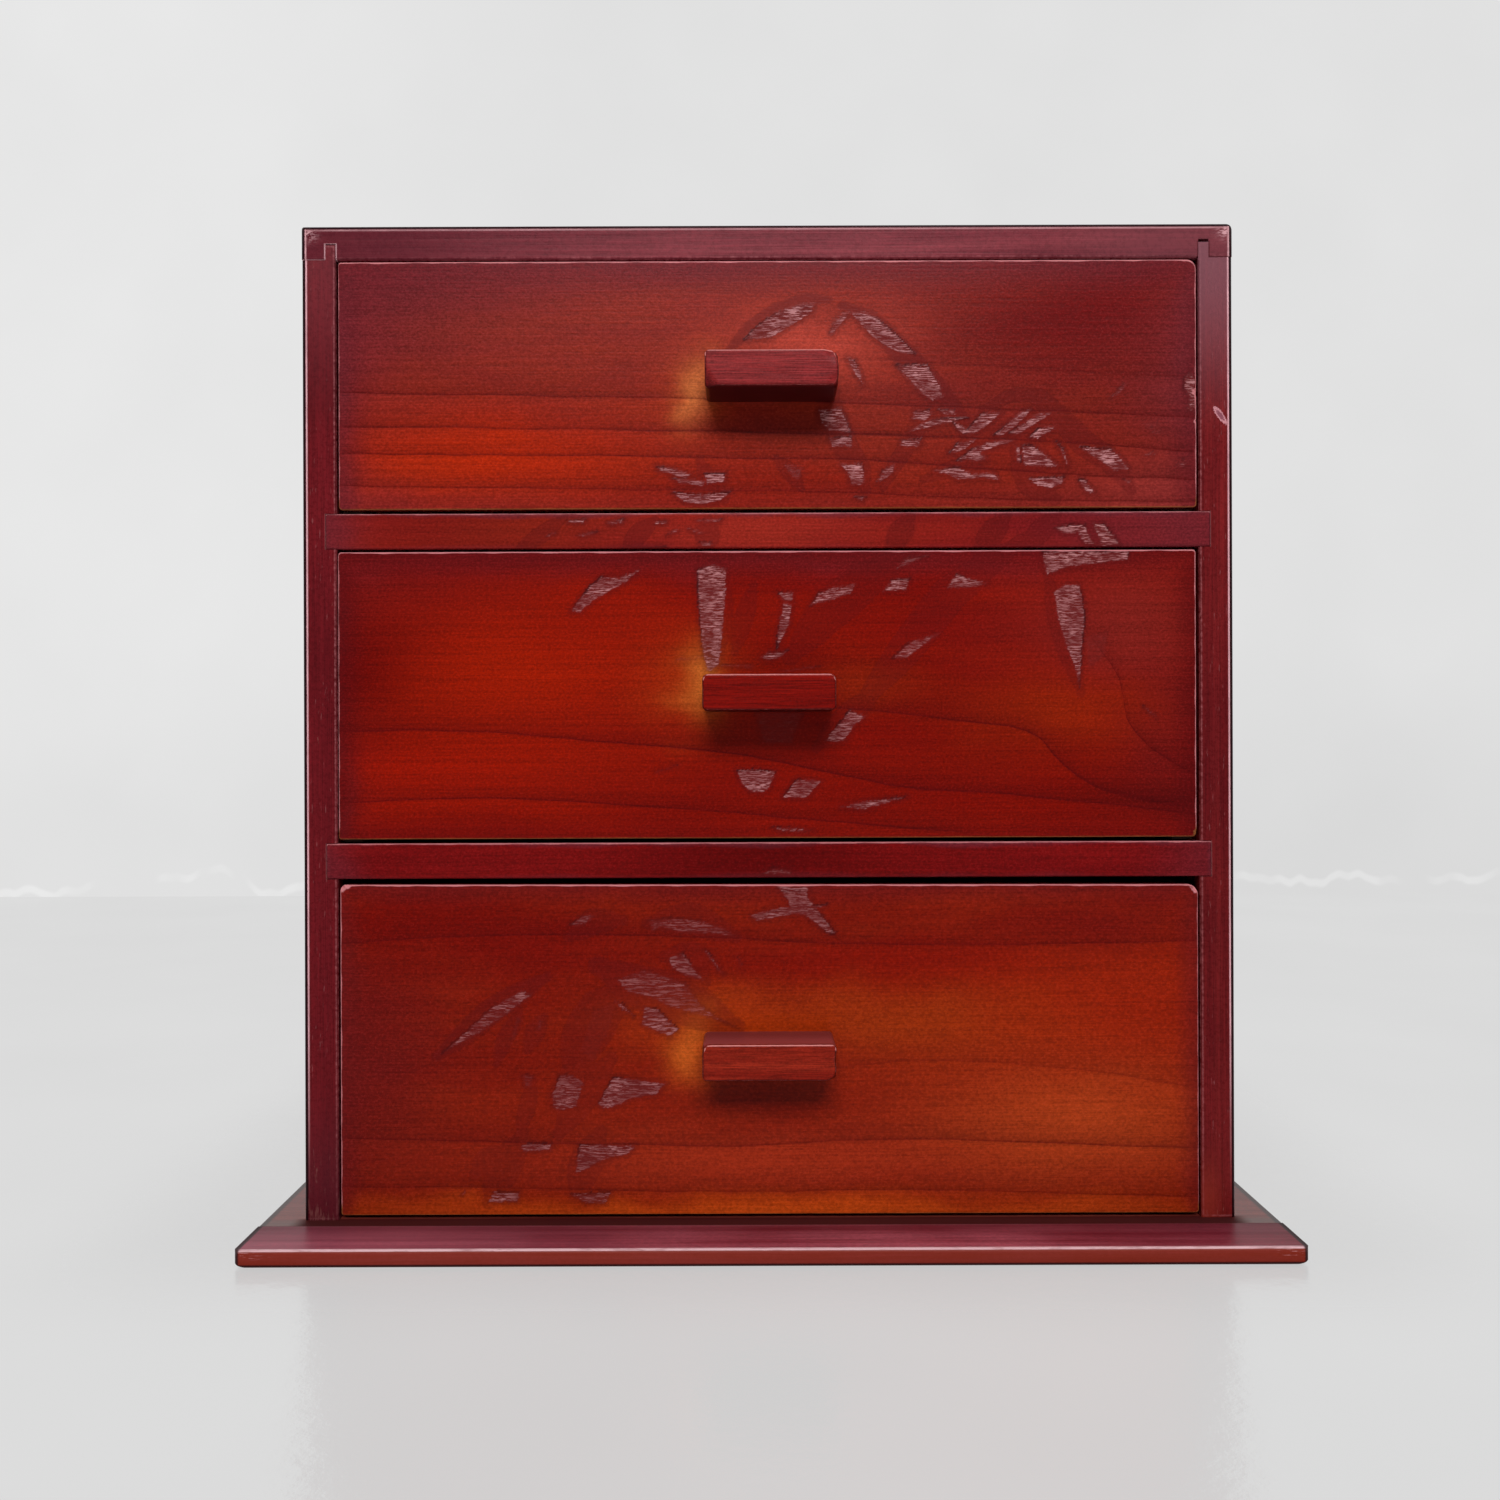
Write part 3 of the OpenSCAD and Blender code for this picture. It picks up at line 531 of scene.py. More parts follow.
def stroke(x, z, width, line):
    """How much a tapering stroke along a line covers points, from 0 to 1."""
    lengths = [math.dist(a, b) for a, b in zip(line, line[1:])]
    cover, start = np.zeros(x.shape), 0
    for (ax, az), (bx, bz), length in zip(line, line[1:], lengths):
        ex, ez = (bx - ax) / length, (bz - az) / length
        along = np.clip((x - ax) * ex + (z - az) * ez, 0, length)
        away = np.hypot(x - ax - along * ex, z - az - along * ez)
        share = np.clip((start + along) / sum(lengths), 0.05, 0.95)
        half = width / 2 * np.sqrt(np.sin(math.pi * share))
        cover = np.maximum(cover, ease((half - away) / 0.9 + 0.5))
        start += length
    return cover


def near_points(x, z, corners, margin):
    """Which points lie in the box around some corners, widened by a margin."""
    low, high = np.min(corners, 0) - margin, np.max(corners, 0) + margin
    return np.flatnonzero((x > low[0]) & (x < high[0]) & (z > low[1]) & (z < high[1]))


def raise_to(field, near, values):
    field[near] = np.maximum(field[near], values)


# How far the painted shade round a cut reaches, and from crest to crest of the gouge's ripples
HALO, RIPPLE = 2.6, 1.5


def carve(x, z):
    """Depth of the cuts at points, and three masks: cut, steep wall (where a shadow is painted) and
    darker halo (painted shade round the cuts, and the dark leaf bands).
    """
    depth, cut, wall, halo = (np.zeros(x.shape) for _ in range(4))
    for number, (deep, dx, dz, *numbers) in enumerate(CUTS):
        outline = pairs(numbers)
        near = near_points(x, z, outline, HALO)
        if not len(near):
            continue
        px, pz = x[near], z[near]
        ragged = (0.24 * waver(px * 2.1 + pz * 3.3, number + 1)
                  + 0.16 * waver(px * 5.3 - pz * 8.9, number + 2))
        d = inside_distance(px, pz, outline) + ragged
        reach = np.array(outline) @ (dx, dz)
        ramp = np.clip((px * dx + pz * dz - reach.min()) / max(np.ptp(reach), 1), 0, 1)
        ripple = np.sin(2 * math.pi * (pz + 0.5 * waver(px * 0.6, number)) / RIPPLE)
        floor = 0.75 * deep * (0.3 + 0.7 * ramp) * (1 + 0.3 * ripple)
        strength = min(1, deep / 0.4)
        raise_to(depth, near, floor * ease(d / (0.8 + 1.3 * (1 - ramp))))
        raise_to(cut, near, strength * ease((d + 0.45) / 1.2))
        raise_to(wall, near, strength * ease(ramp * 3 - 2) * ease(1 - np.abs(d) / 0.55))
        # A darker halo of painted shade round each cut, where its floor slopes up
        raise_to(halo, near, 0.4 * strength * ease(1 + d / HALO))
    for tone, width, *numbers in DARK_BANDS:
        line = pairs(numbers)
        near = near_points(x, z, line, width)
        if len(near):
            raise_to(halo, near, tone * stroke(x[near], z[near], width, line))
    return depth, cut, wall, halo


# %% [markdown]
# ## Drawer fronts and rails
# A drawer front is a board with softly worn edges. Its sides lie in a rebate behind each end,
# so from above it has a lap 5 mm thick and a thicker middle. The face is one grid from
# `create_grid`, with its lines drawn closer near the edges. The grid's points are then pushed
# back by the edge's rounding, by chips and by the cuts. The rim is extruded back to the lap and
# closed with one face. Two planes cut that face where the drawer's sides begin, and what lies
# between them is extruded to the board's full thickness.

# %% A worn, carved board
# How far behind the face the wear ends, and above which angle an edge stays sharp
WEAR_DEPTH, SHARP_BOARD = 2.0, 50


def new_verts(geometry):
    return [g for g in geometry if isinstance(g, bmesh.types.BMVert)]


# Masks kept on the points: cuts, steep walls, the darker halo and bands, and pale edge wear with a
# painted highlight
MASKS = ("cut", "wall", "halo", "bare")


def grid_lines(low, high, step):
    """Places of grid lines: close together near both ends, then about one step apart."""
    near = np.array([0, 0.12, 0.3, 0.55, 0.85, 1.2, 1.65])
    middle = np.linspace(low + 2.2, high - 2.2, max(2, round((high - low - 4.4) / step)))
    return np.concatenate([low + near, middle, high - near[::-1]])


def worn_board(name, node, body, step, edge, corners, wear, chips=(), drop=0.0, lap=None,
               shoulder=None):
    """A board in the place of a CAD node, with a worn and carved front face.

    step is the grid's, edge the radius of the rounded edges, and corners are the radii of the
    lower left, lower right, upper left and upper right corner. wear is how strongly the left,
    right, lower and upper edges show pale wear and a painted highlight. Chips are (x, z, radius,
    depth). drop is how far the upper edge has worn down at its right end. lap is how thick the
    ends are, and shoulder is from where to where the board has its full thickness. All lengths
    are in millimetres.
    """
    low, high = box_mm(node)
    xs, zs = grid_lines(low.x, high.x, step), grid_lines(low.z, high.z, step)
    bm = bmesh.new()
    bmesh.ops.create_grid(bm, x_segments=len(xs) - 1, y_segments=len(zs) - 1, size=0.5)
    unit = np.array([v.co[:2] for v in bm.verts]) + 0.5
    x = xs[np.rint(unit[:, 0] * (len(xs) - 1)).astype(int)]
    z = zs[np.rint(unit[:, 1] * (len(zs) - 1)).astype(int)]
    sides = np.array([x - low.x, high.x - x, z - low.z, high.z - z])
    to_edge = sides.min(0)
    depth, cut, wall, halo = carve(x, z)
    radius = edge * (1 + 0.12 * waver((x + z) * 0.12, len(name)))
    hollow = np.clip(radius - to_edge, 0, radius)
    back = radius - np.sqrt(radius ** 2 - hollow ** 2)
    # Pale wear along each edge, partly a painted highlight of the arris
    bare = sum(strength * ease(1 - side / (0.85 + 0.3 * waver((x - z) * 0.3, k + 1)))
               for k, (strength, side) in enumerate(zip(wear, sides)))
    for number, (cx, cz, size, deep) in enumerate(chips):
        angle = np.arctan2(z - cz, x - cx)
        away = np.hypot(x - cx, z - cz) / (size * (1 + 0.3 * waver(angle * 3, number + 5)))
        dip = ease(1.3 - away) * deep * (1 + 0.4 * waver(x * 2.3 + z * 3.1, number))
        back = np.maximum(back, dip)
        bare = np.maximum(bare, ease(1.6 - away))
    y = low.y + back + depth
    # Round the four corners: a point of a corner's square moves onto the circle of the same size
    corner = np.where(z < (low.z + high.z) / 2, np.where(x < 0, corners[0], corners[1]),
                      np.where(x < 0, corners[2], corners[3]))
    inner = np.array([np.maximum(corner - np.minimum(sides[0], sides[1]), 0),
                      np.maximum(corner - np.minimum(sides[2], sides[3]), 0)])
    pull_in = 1 - inner.max(0) / np.maximum(np.hypot(*inner), 1e-9)
    pull_in[inner.max(0) <= 0] = 0
    x = x - np.sign(x - (low.x + high.x) / 2) * inner[0] * pull_in
    z = z - np.sign(z - (low.z + high.z) / 2) * inner[1] * pull_in
    z -= drop * ease((z - (high.z - 12)) / 12) * (x - low.x) / (high.x - low.x)
    layers = [bm.verts.layers.float.new(label) for label in MASKS]
    rows = np.column_stack([x, y, z]) * MM
    for vert, place, *masks in zip(bm.verts, rows, cut, wall, halo, np.clip(bare, 0, 1)):
        vert.co = place
        for layer, mask in zip(layers, masks):
            vert[layer] = mask

    # The wear ends behind the arris, so the rim goes back in two steps, and the masks end at
    # the first
    rim = [e for e in bm.edges if len(e.link_faces) == 1]
    for rim_y in (low.y + WEAR_DEPTH, low.y + lap if lap else high.y):
        made = bmesh.ops.extrude_edge_only(bm, edges=rim)["geom"]
        for vert in new_verts(made):
            vert.co.y = rim_y * MM
            for layer in layers:
                vert[layer] = 0
        rim = [g for g in made if isinstance(g, bmesh.types.BMEdge) and len(g.link_faces) == 1]
    back_face = bmesh.ops.contextual_create(bm, geom=rim)["faces"]
    if lap:
        for plane_x in shoulder:
            back_edges = {e for face in back_face for e in face.edges}
            bmesh.ops.bisect_plane(bm, geom=[*back_face, *back_edges], dist=1e-6,
                                   plane_co=(plane_x * MM, 0, 0), plane_no=(1, 0, 0))
            back_face = [face for face in bm.faces
                         if len(face.edges) > 4 and face.calc_area() > 1e-3]
        for vert in new_verts(bmesh.ops.extrude_face_region(bm, geom=back_face)["geom"]):
            vert.co.y = high.y * MM
    bmesh.ops.recalc_face_normals(bm, faces=bm.faces)
    made = new_piece(name, bm, SHARP_BOARD)
    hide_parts(node)
    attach(made, body)
    print("deepest cut", round(float(depth.max()), 2), "mm")
    return made


# %% Make the fronts and the rails
FRONTS = {
    # drawer: grid step, corner radii, wear with a painted highlight (left, right, lower, upper),
    # chips, drop
    "top": (0.6, (1.2, 1.2, 1.2, 3.4), (0.8, 1.1, 0.8, 1.7),
            [(152.8, 298.5, 1.8, 0.9), (152.6, 288.5, 1.0, 0.6)], 0.0),
    "middle": (0.62, (1.0, 1.6, 1.2, 1.2), (0.9, 1.1, 0.8, 1.4), [(152.4, 142, 1.5, 0.9)], 0.0),
    "bottom": (0.66, (1.0, 1.2, 2.0, 3.6), (1.1, 0.8, 0.9, 1.2),
               [(152.6, 124.1, 2.6, 1.1), (-152.4, 124.6, 2.2, 1.0), (-150, 125.4, 1.6, 0.8),
                (-136, 125.3, 0.9, 0.5)], 0.8),
}
# Radii of the edges, all in millimetres
FRONT_ROUND, RAIL_ROUND = 0.5, 0.6
# The ends' thickness, and half the width between the drawer's sides
LAP, SHOULDER = 5.0, 145.0
fronts = {}
for drawer, (step, corners, wear, chips, drop) in FRONTS.items():
    node = f"{drawer}_drawer_front"
    middle_x = sum(corner.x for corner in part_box(node)) / 2 / MM
    fronts[drawer] = worn_board(
        f"{drawer}_front_board", node, f"{drawer}_drawer", step, FRONT_ROUND,
        corners, wear, chips, drop, LAP, (middle_x - SHOULDER, middle_x + SHOULDER))

# A rail's grid step, the radii of its corners, and its wear with a painted highlight on the edges
RAIL_STEP, RAIL_CORNERS, RAIL_WEAR = 0.7, (0.4,) * 4, (0.5, 0.3, 0.25, 0.8)
rails = {name: worn_board(name + "_board", name, "carcass", RAIL_STEP, RAIL_ROUND,
                          RAIL_CORNERS, RAIL_WEAR)
         for name in ("upper_rail", "lower_rail")}

# %% [markdown]
# ## Pulls
# Each pull is one bar of wood, screwed on from inside the drawer. Its corners and its front
# arrises are worn round, and the top pull's left end slants where a piece is gone. It could be a
# cube with a Bevel modifier, but then every edge would be equally new. Here a cube is beveled
# twice and sliced into small cells with `bisect_plane`, and the cells' corners are moved a
# little where hands have worn the wood.

# %% Make the pulls
# Radii of a pull's corners and front arrises, the angle above which an edge stays sharp, and
# the size of its cells in x, y and z
PULL_CORNER, PULL_EDGE, SHARP_PULL, PULL_CELL = 1.5, 0.8, 40, (0.8, 1.0, 0.8)
PULL_WEAR = {
    # drawer: worn places (x, y, z from the pull's middle, radius, depth) in millimetres
    "top": [(22.7, -11.2, 6.1, 5.5, 1.5), (22.7, -11.2, -6.1, 4.5, 1.0)],
    "middle": [(-22.7, -11.2, 6.1, 3.0, 0.6), (22.7, -11.2, 6.1, 3.0, 0.6)],
    "bottom": [(22.7, -11.2, -6.1, 3.6, 1.3), (22.7, -11.2, 1.0, 3.0, 0.6),
               (-22.7, -11.2, 6.1, 4.0, 1.0)],
}
# How far in a slanting facet at the left end starts at the pull's lower edge, and how fast it
# falls back
SLANT, SLANT_FALL = {"top": 4.6, "middle": 0, "bottom": 0}, 1.1


def round_edges(bm, edges, radius, segments):
    bmesh.ops.bevel(bm, geom=edges, offset=radius, offset_type="OFFSET", segments=segments,
                    profile=0.5, affect="EDGES", material=-1)


def bar_pull(drawer):
    low, high = box_mm(f"{drawer}_drawer_pull")
    middle, half = (low + high) / 2, (high - low) / 2
    bm = bmesh.new()
    bmesh.ops.create_cube(bm, size=2)
    bmesh.ops.scale(bm, vec=half, verts=bm.verts)
    along_y = [e for e in bm.edges if abs((e.verts[1].co - e.verts[0].co).normalized().y) > 0.999]
    round_edges(bm, along_y, PULL_CORNER, 5)
    in_front = [e for e in bm.edges if all(abs(v.co.y + half.y) < 1e-4 for v in e.verts)]
    round_edges(bm, in_front, PULL_EDGE, 4)
    for axis, cell in enumerate(PULL_CELL):
        count = int(2 * half[axis] / cell)
        for place in np.linspace(-half[axis], half[axis], count + 1)[1:-1]:
            point, normal = [0, 0, 0], [0, 0, 0]
            point[axis], normal[axis] = place, 1
            bmesh.ops.bisect_plane(bm, geom=bm.verts[:] + bm.edges[:] + bm.faces[:], dist=1e-4,
                                   plane_co=point, plane_no=normal)
    bmesh.ops.recalc_face_normals(bm, faces=bm.faces)
    places = np.array([v.co for v in bm.verts])
    to_face = np.array([half.x - abs(places[:, 0]), places[:, 1] + half.y,
                        half.z - abs(places[:, 2])])
    # Pale wear along the front arrises, with a painted highlight that is strongest on the upper
    # arris
    bare = ease(1 - np.sort(to_face, 0)[1] / 0.8) * (0.6 + 0.7 * (places[:, 2] > 4))
    inward = -places / np.maximum(np.linalg.norm(places, axis=1), 1)[:, None]
    moved = 0.07 * waver(places[:, 0] * 0.5 + places[:, 2] * 2, len(drawer))[:, None] * inward
    for x, y, z, size, deep in PULL_WEAR[drawer]:
        near = ease(1 - np.linalg.norm(places - (x, y, z), axis=1) / size)
        moved += (deep * near)[:, None] * inward
        bare = np.maximum(bare, ease(near * 2.2 - 0.4) * 0.35)
    moved *= ease((half.y - places[:, 1]) / 3)[:, None]
    moved[:, 1] = np.maximum(moved[:, 1], 0)
    lower = (half.z - places[:, 2]) / (2 * half.z)
    past = SLANT[drawer] * np.clip(lower, 0, 1) ** 2.6 - (places[:, 0] + half.x)
    fallen = np.maximum(SLANT_FALL * past - half.y - places[:, 1], 0) * (past > 0)
    bare *= fallen < 0.3
    moved[:, 1] += fallen
    layer = bm.verts.layers.float.new("bare")
    for vert, place, mask in zip(bm.verts, (places + moved + np.array(middle)) * MM, bare):
        vert.co = place
        vert[layer] = mask
    made = new_piece(f"{drawer}_bar_pull", bm, SHARP_PULL)
    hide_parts(f"{drawer}_drawer_pull")
    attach(made, f"{drawer}_drawer")
    return made


pulls = {drawer: bar_pull(drawer) for drawer in FRONTS}


# %% [markdown]
# ## Graded stain on fronts and rails
# The fronts are softwood under a red-orange stain. The maker sprayed wine red into the edges,
# and near each pull the stain is thin enough to glow amber. Growth rings show as thin dark
# lines with a darker tone above them that fades upwards. A picture of that could be mapped on,
# but then it would fit only this one chest. Instead the stain is a ground colour with soft
# clouds laid on it, each a centre, two radii, a strength and a colour, and every ring is a
# curve across the board. Some clouds are painted light and shade: highlights on the rounded
# ends, sheen in the mauve along the upper edges, the top pull's shadow, and light from the floor
# along the bottom drawer's lower edge. The cuts get painted glints, a painted shadow on their
# steep sides and painted shade round them, and the worn edges a painted highlight.

# %% Graded stain
# Satin lacquer throws little light straight back, and that has some of the stain's pink in it
SATIN = {"Specular_IOR_Level": 0.09, "Specular_Tint": (1.0, 0.58, 0.62)}


def cloud(x, z, center, radii, strength):
    """A soft round mask, strength at its middle."""
    across = (x - center[0]) / radii[0]
    up = (z - center[1]) / radii[1]
    return (across * across + up * up).math("MULTIPLY", -1).math("EXPONENT") * strength


def ring_tone(f, x, z, low, high, places, strength):
    """How dark one growth ring makes the wood: a thin line, and a tone that fades above it."""
    wide, tall = high.x - low.x, high.z - low.z
    share = (x - low.x) / wide
    curve = [((px - low.x) / wide, (pz - low.z) / tall) for px, pz in places]
    start, end = curve[0][0], curve[-1][0]
    above = z - (f.node("FloatCurve", {"curve": curve}, {1: share}) * tall + low.z)
    fade = (above / -7.0).at_most(0.0).math("EXPONENT") * above.rise(-0.35, 0.25)
    thin = (abs(above) / -0.36).math("EXPONENT") * 0.7
    present = share.rise(start - 0.05, start + 0.03) * share.rise(end + 0.05, end - 0.03)
    return (fade * 0.55 + thin) * strength * present


def graded_stain(name, low, high, ground, rim, rim_width, clouds, rings, seed, carving=(1.0, 1.0)):
    """Stain with clouds and growth rings, for a board whose face lies between low and high.

    carving is how strongly the cuts' painted glints show and how dark the darkened halos and
    bands are. Some clouds, the cuts and the worn edges also carry painted light and shade.
    """
    f = Finish(name)
    x, _, z = f.place()
    drift = f.grain((38, 38, 24), 3, 0.55, seed) - 0.5
    ripple = f.grain((26, 20, 4), 2, 0.5, seed + 3) - 0.5
    fibre = f.grain((55, 3, 0.75), 3, 0.6, seed)
    pore = f.grain((9, 1.5, 0.22), 2, 0.5, seed + 5)
    mottle = f.grain((1.0, 1.0, 0.75), 3, 0.7, seed + 9)
    patch = f.grain((60, 30, 14), 3, 0.5, seed + 12)

    f.color = f.mix(patch.rise(0.3, 0.7), *(paint(*tone) for tone in ground))
    for cx, cz, wide, tall, strength, *tone in clouds:
        f.lay(cloud(x + drift * 26, z + drift * 18, (cx, cz), (wide, tall), strength), paint(*tone))
    left, right, lower, upper = (((side + drift * 6 + mottle * 1.2) / rim_width).rise(1, 0)
                                 for side in (x - low.x, high.x - x, z - low.z, high.z - z))
    f.lay(left.at_least(right).at_least(lower * 0.35).at_least(upper) * 0.75, paint(*rim))
    rings_tone = 0
    for strength, *numbers in rings:
        one = ring_tone(f, x, z + ripple * 1.6, low, high, pairs(numbers), strength)
        rings_tone = one + rings_tone
    if rings:
        f.lay(rings_tone.at_most(0.85) * (0.55 + patch * 0.6), paint(76, 4, 6))
    f.color = f.brighten(
        f.color, 0.67 + fibre.rise(0.3, 0.7) * 0.22 + mottle.rise(0.32, 0.68) * 0.42
        - pore.rise(0.4, 0.7) * 0.12)

    glinting, darkened = carving
    cut, wall, halo, bare = (f.attribute(label) for label in MASKS)
    gouge = f.grain((3.6, 3.6, 0.42), 3, 0.7, seed + 21)
    sheen = f.grain((9, 9, 5), 2, 0.5, seed + 25)
    # Painted shade: the darker halo round each cut, with a darker rim, and the dark leaf bands
    f.lay(halo * (0.5 + mottle * 0.5) * darkened, paint(84, 13, 16))
    f.lay(halo.rise(0.1, 0.3) * halo.rise(0.5, 0.3) * 0.2 * darkened, paint(52, 6, 8))
    # Cuts are mauve-brown: darker stain, and a painted reflection of light on their sloping floors
    f.lay(cut * 0.8, paint(102, 30, 30))
    # A painted shadow along each cut's steep wall
    f.lay(wall * 0.85, paint(38, 6, 10))
    # Painted highlights: pale pink glints on the gouge's ripples in the cuts
    glint = cut.rise(0.3, 0.8) * gouge.rise(0.47, 0.6) * (0.3 + sheen.rise(0.3, 0.7) * 0.8)
    f.lay(glint.at_most(0.95) * glinting, paint(204, 142, 144))
    # Worn edges are tan near the lower edge, and elsewhere pink: worn lacquer with a painted
    # highlight along the arris
    tan = (z - low.z).rise(5, 2)
    worn = (bare + mottle * 0.5 - 0.25).rise(0.3, 0.8)
    f.lay(worn * (0.88 - tan * 0.38), f.mix(tan, paint(212, 132, 136), paint(168, 112, 62)))
    f.height = fibre * 0.03 + mottle * 0.04 + cut * gouge * 0.3
    f.rough = 0.2 + mottle * 0.12 + worn * 0.2
    return f.surface(**SATIN)


# %% Stain the fronts
# Clouds are x, z, radius across, radius up and down, strength, and a paint's red, green and blue.
# Rings are a strength, then x and z along the ring.
PLUM = (100, 34, 44)
STAIN = {
    "top": {
        "ground": ((128, 34, 26), (140, 40, 24)), "rim": (98, 24, 32), "rim_width": 15,
        "carving": (0.88, 0.9),
        # The thin pink clouds on the ends are painted highlights on their rounded edges; the mauve
        # along the upper and side edges is wine stain with painted sheen
        "clouds": [(-152, 301, 4, 60, 0.6, 136, 70, 80), (152, 318, 5, 32, 0.6, 136, 70, 78),
                   (-141, 338, 58, 26, 0.85, 96, 25, 33), (-150, 296, 18, 60, 0.5, 118, 34, 42),
                   (-96, 277, 70, 18, 0.92, 184, 40, 2), (0, 264, 80, 14, 0.85, 138, 24, 2),
                   (0, 346, 190, 8, 0.5, 116, 26, 30), (16, 315, 30, 11, 0.85, 194, 70, 52),
                   # The dark cloud at (4, 289) under the pull is its painted shadow
                   (95, 276, 40, 12, 0.5, 140, 30, 8), (4, 289, 24, 6, 0.35, 84, 8, 4),
                   (110, 326, 60, 26, 0.95, 100, 2, 3), (138, 312, 30, 20, 0.5, 104, 24, 28),
                   (140, 264, 28, 12, 0.75, 158, 54, 46), (150, 296, 16, 46, 0.6, 116, 38, 42),
                   (-28, 300, 13, 13, 0.45, 176, 58, 18), (-25.5, 300, 5.5, 9, 0.9, 212, 116, 58)],
        "rings": [(0.45, 40, 311, 105, 306.5, 153, 304),
                  (0.75, -152, 299.5, -45, 297.5, 26, 295.5, 81, 293, 153, 290),
                  (0.8, -152, 287.5, -81, 286.5, 34, 284, 89, 282, 153, 277.5),
                  (0.8, -152, 278, -9, 276, 34, 275, 89, 271, 153, 267.5),
                  (0.7, -152, 266.5, -60, 265, 27, 263.5, 68, 261.5, 153, 260)]},
    "middle": {
        "ground": ((118, 9, 2), (130, 15, 2)), "rim": (88, 8, 12), "rim_width": 13,
        "carving": (0.7, 0.65),
        # The thin pink cloud on the left end is a painted highlight on its rounded edge; the mauve
        # along the top is wine stain with painted sheen
        "clouds": [(-152, 192, 3, 60, 0.4, 130, 60, 66), (-141, 232, 46, 20, 0.6, 100, 14, 16),
                   (-150, 190, 12, 60, 0.55, 96, 16, 20), (-88, 197, 54, 30, 0.8, 162, 28, 1),
                   (-120, 162, 60, 13, 0.75, 158, 22, 1), (-143, 203, 22, 18, 0.7, 92, 1, 1),
                   (0, 240, 170, 6, 0.55, 116, 28, 34), (128, 216, 40, 24, 0.75, 128, 34, 28),
                   (142, 176, 16, 30, 0.55, 104, 20, 22), (100, 184, 34, 12, 0.75, 144, 34, 4),
                   (20, 148, 90, 8, 0.5, 134, 16, 1), (140, 152, 24, 9, 0.6, 90, 8, 8),
                   (-28, 196, 17, 15, 0.55, 170, 54, 12), (-26, 195, 6.5, 11, 0.9, 200, 106, 40),
                   (34, 196, 20, 9, 0.4, 158, 46, 8)],
        "rings": [(0.9, -151, 179, -113, 179.5, -49, 174.5, -17, 171.5, 25, 163.5, 47, 159,
                   89, 156, 148, 149.5),
                  (0.8, -151, 154, -102, 155.5, -39, 152, 25, 146.5, 68, 143),
                  (0.9, 25, 187, 68, 182.5, 93, 178, 102, 169.5, 114, 160, 131, 154.5, 153, 151.5),
                  (0.8, 119, 206, 125, 196, 127, 183.5, 136, 172.5, 148, 165)]},
    "bottom": {
        "ground": ((122, 20, 5), (136, 30, 8)), "rim": (104, 20, 20), "rim_width": 11,
        "carving": (0.52, 0.65),
        "clouds": [(-149, 62, 30, 44, 0.8, 98, 16, 18), (-120, 112, 60, 14, 0.8, 116, 6, 1),
                   (-70, 100, 70, 18, 0.5, 112, 6, 3), (46, 94, 56, 11, 0.9, 124, 4, 1),
                   (110, 76, 60, 26, 0.7, 154, 32, 4), (128, 113, 50, 10, 0.6, 112, 12, 10),
                   (46, 75, 52, 14, 0.75, 158, 52, 8), (0, 26, 90, 12, 0.75, 168, 50, 22),
                   (110, 40, 50, 20, 0.85, 180, 66, 24), (-14, 76, 34, 11, 0.6, 178, 60, 10),
                   # The bright band at (0, 7) along the lower edge is painted light from the floor
                   (-26, 67, 7, 11, 0.75, 204, 96, 30), (0, 7, 150, 6, 0.85, 216, 84, 18)],
        "rings": [(0.7, -153, 104, -81, 107, -17, 105.5, 25, 103.5, 153, 104),
                  (0.4, 25, 59.5, 68, 61.5, 152, 52),
                  (0.7, -152, 35, -92, 33.5, -18, 32, 46, 34, 99, 32.5, 151, 30.5),
                  (0.6, -152, 17.5, -82, 17, -18, 15.5, 46, 16, 151, 13)]},
}


def wear_finish(piece, finish):
    piece.data.materials.clear()
    piece.data.materials.append(finish)


for seed, (drawer, stain) in enumerate(STAIN.items()):
    wear_finish(fronts[drawer], graded_stain(
        f"{drawer}_front_stain", *box_mm(f"{drawer}_drawer_front"), seed=seed * 7.3, **stain))

# %% Stain the rails
RAIL_STAIN = {
    "upper_rail": {"ground": ((118, 18, 18), (134, 26, 18)),
                   "clouds": [(-90, 250, 46, 9, 0.6, 134, 34, 14),
                              (-4, 250, 36, 8, 0.7, 156, 42, 28),
                              (-120, 250, 20, 8, 0.4, 110, 14, 12), (-158, 250, 14, 30, 0.7, *PLUM),
                              (150, 250, 44, 30, 0.7, *PLUM)]},
    "lower_rail": {"ground": ((108, 9, 11), (122, 14, 14)),
                   "clouds": [(0, 133, 60, 14, 0.8, 86, 2, 2), (-158, 133, 12, 30, 0.6, *PLUM),
                              (158, 133, 18, 30, 0.5, *PLUM)]},
}
for seed, (name, stain) in enumerate(RAIL_STAIN.items()):
    wear_finish(rails[name], graded_stain(
        f"{name}_stain", *box_mm(name), rim=PLUM, rim_width=2.5, rings=[], seed=31 + seed * 5.1,
        **stain))

# %% [markdown]
# ## Lacquered case, base and pulls
# The case boards are darker: wine red to plum, with the wood's fibres showing as fine streaks
# along each board and pale rubs on the arrises, partly a painted highlight, beside a painted dark
# line on the arris itself. One function writes that finish for a board whose fibres run along a
# given axis. How worn an edge is comes from how near a point is to the edges of the board's own
# box, because the CAD boards have no extra points to paint on.

# %% Streaked lacquer
def stretched(along, length, thick):
    """The size of spots that are long along one axis and thin across it."""
    return tuple(length if axis == along else thick for axis in range(3))


def streaks(f, along, seed, fine=1.0):
    """Fibres along one axis, and slower bands that follow the growth rings."""
    return (f.grain(stretched(along, 70, 0.55 * fine), 3, 0.6, seed),
            f.grain(stretched(along, 160, 5.0 * fine), 3, 0.55, seed + 4))


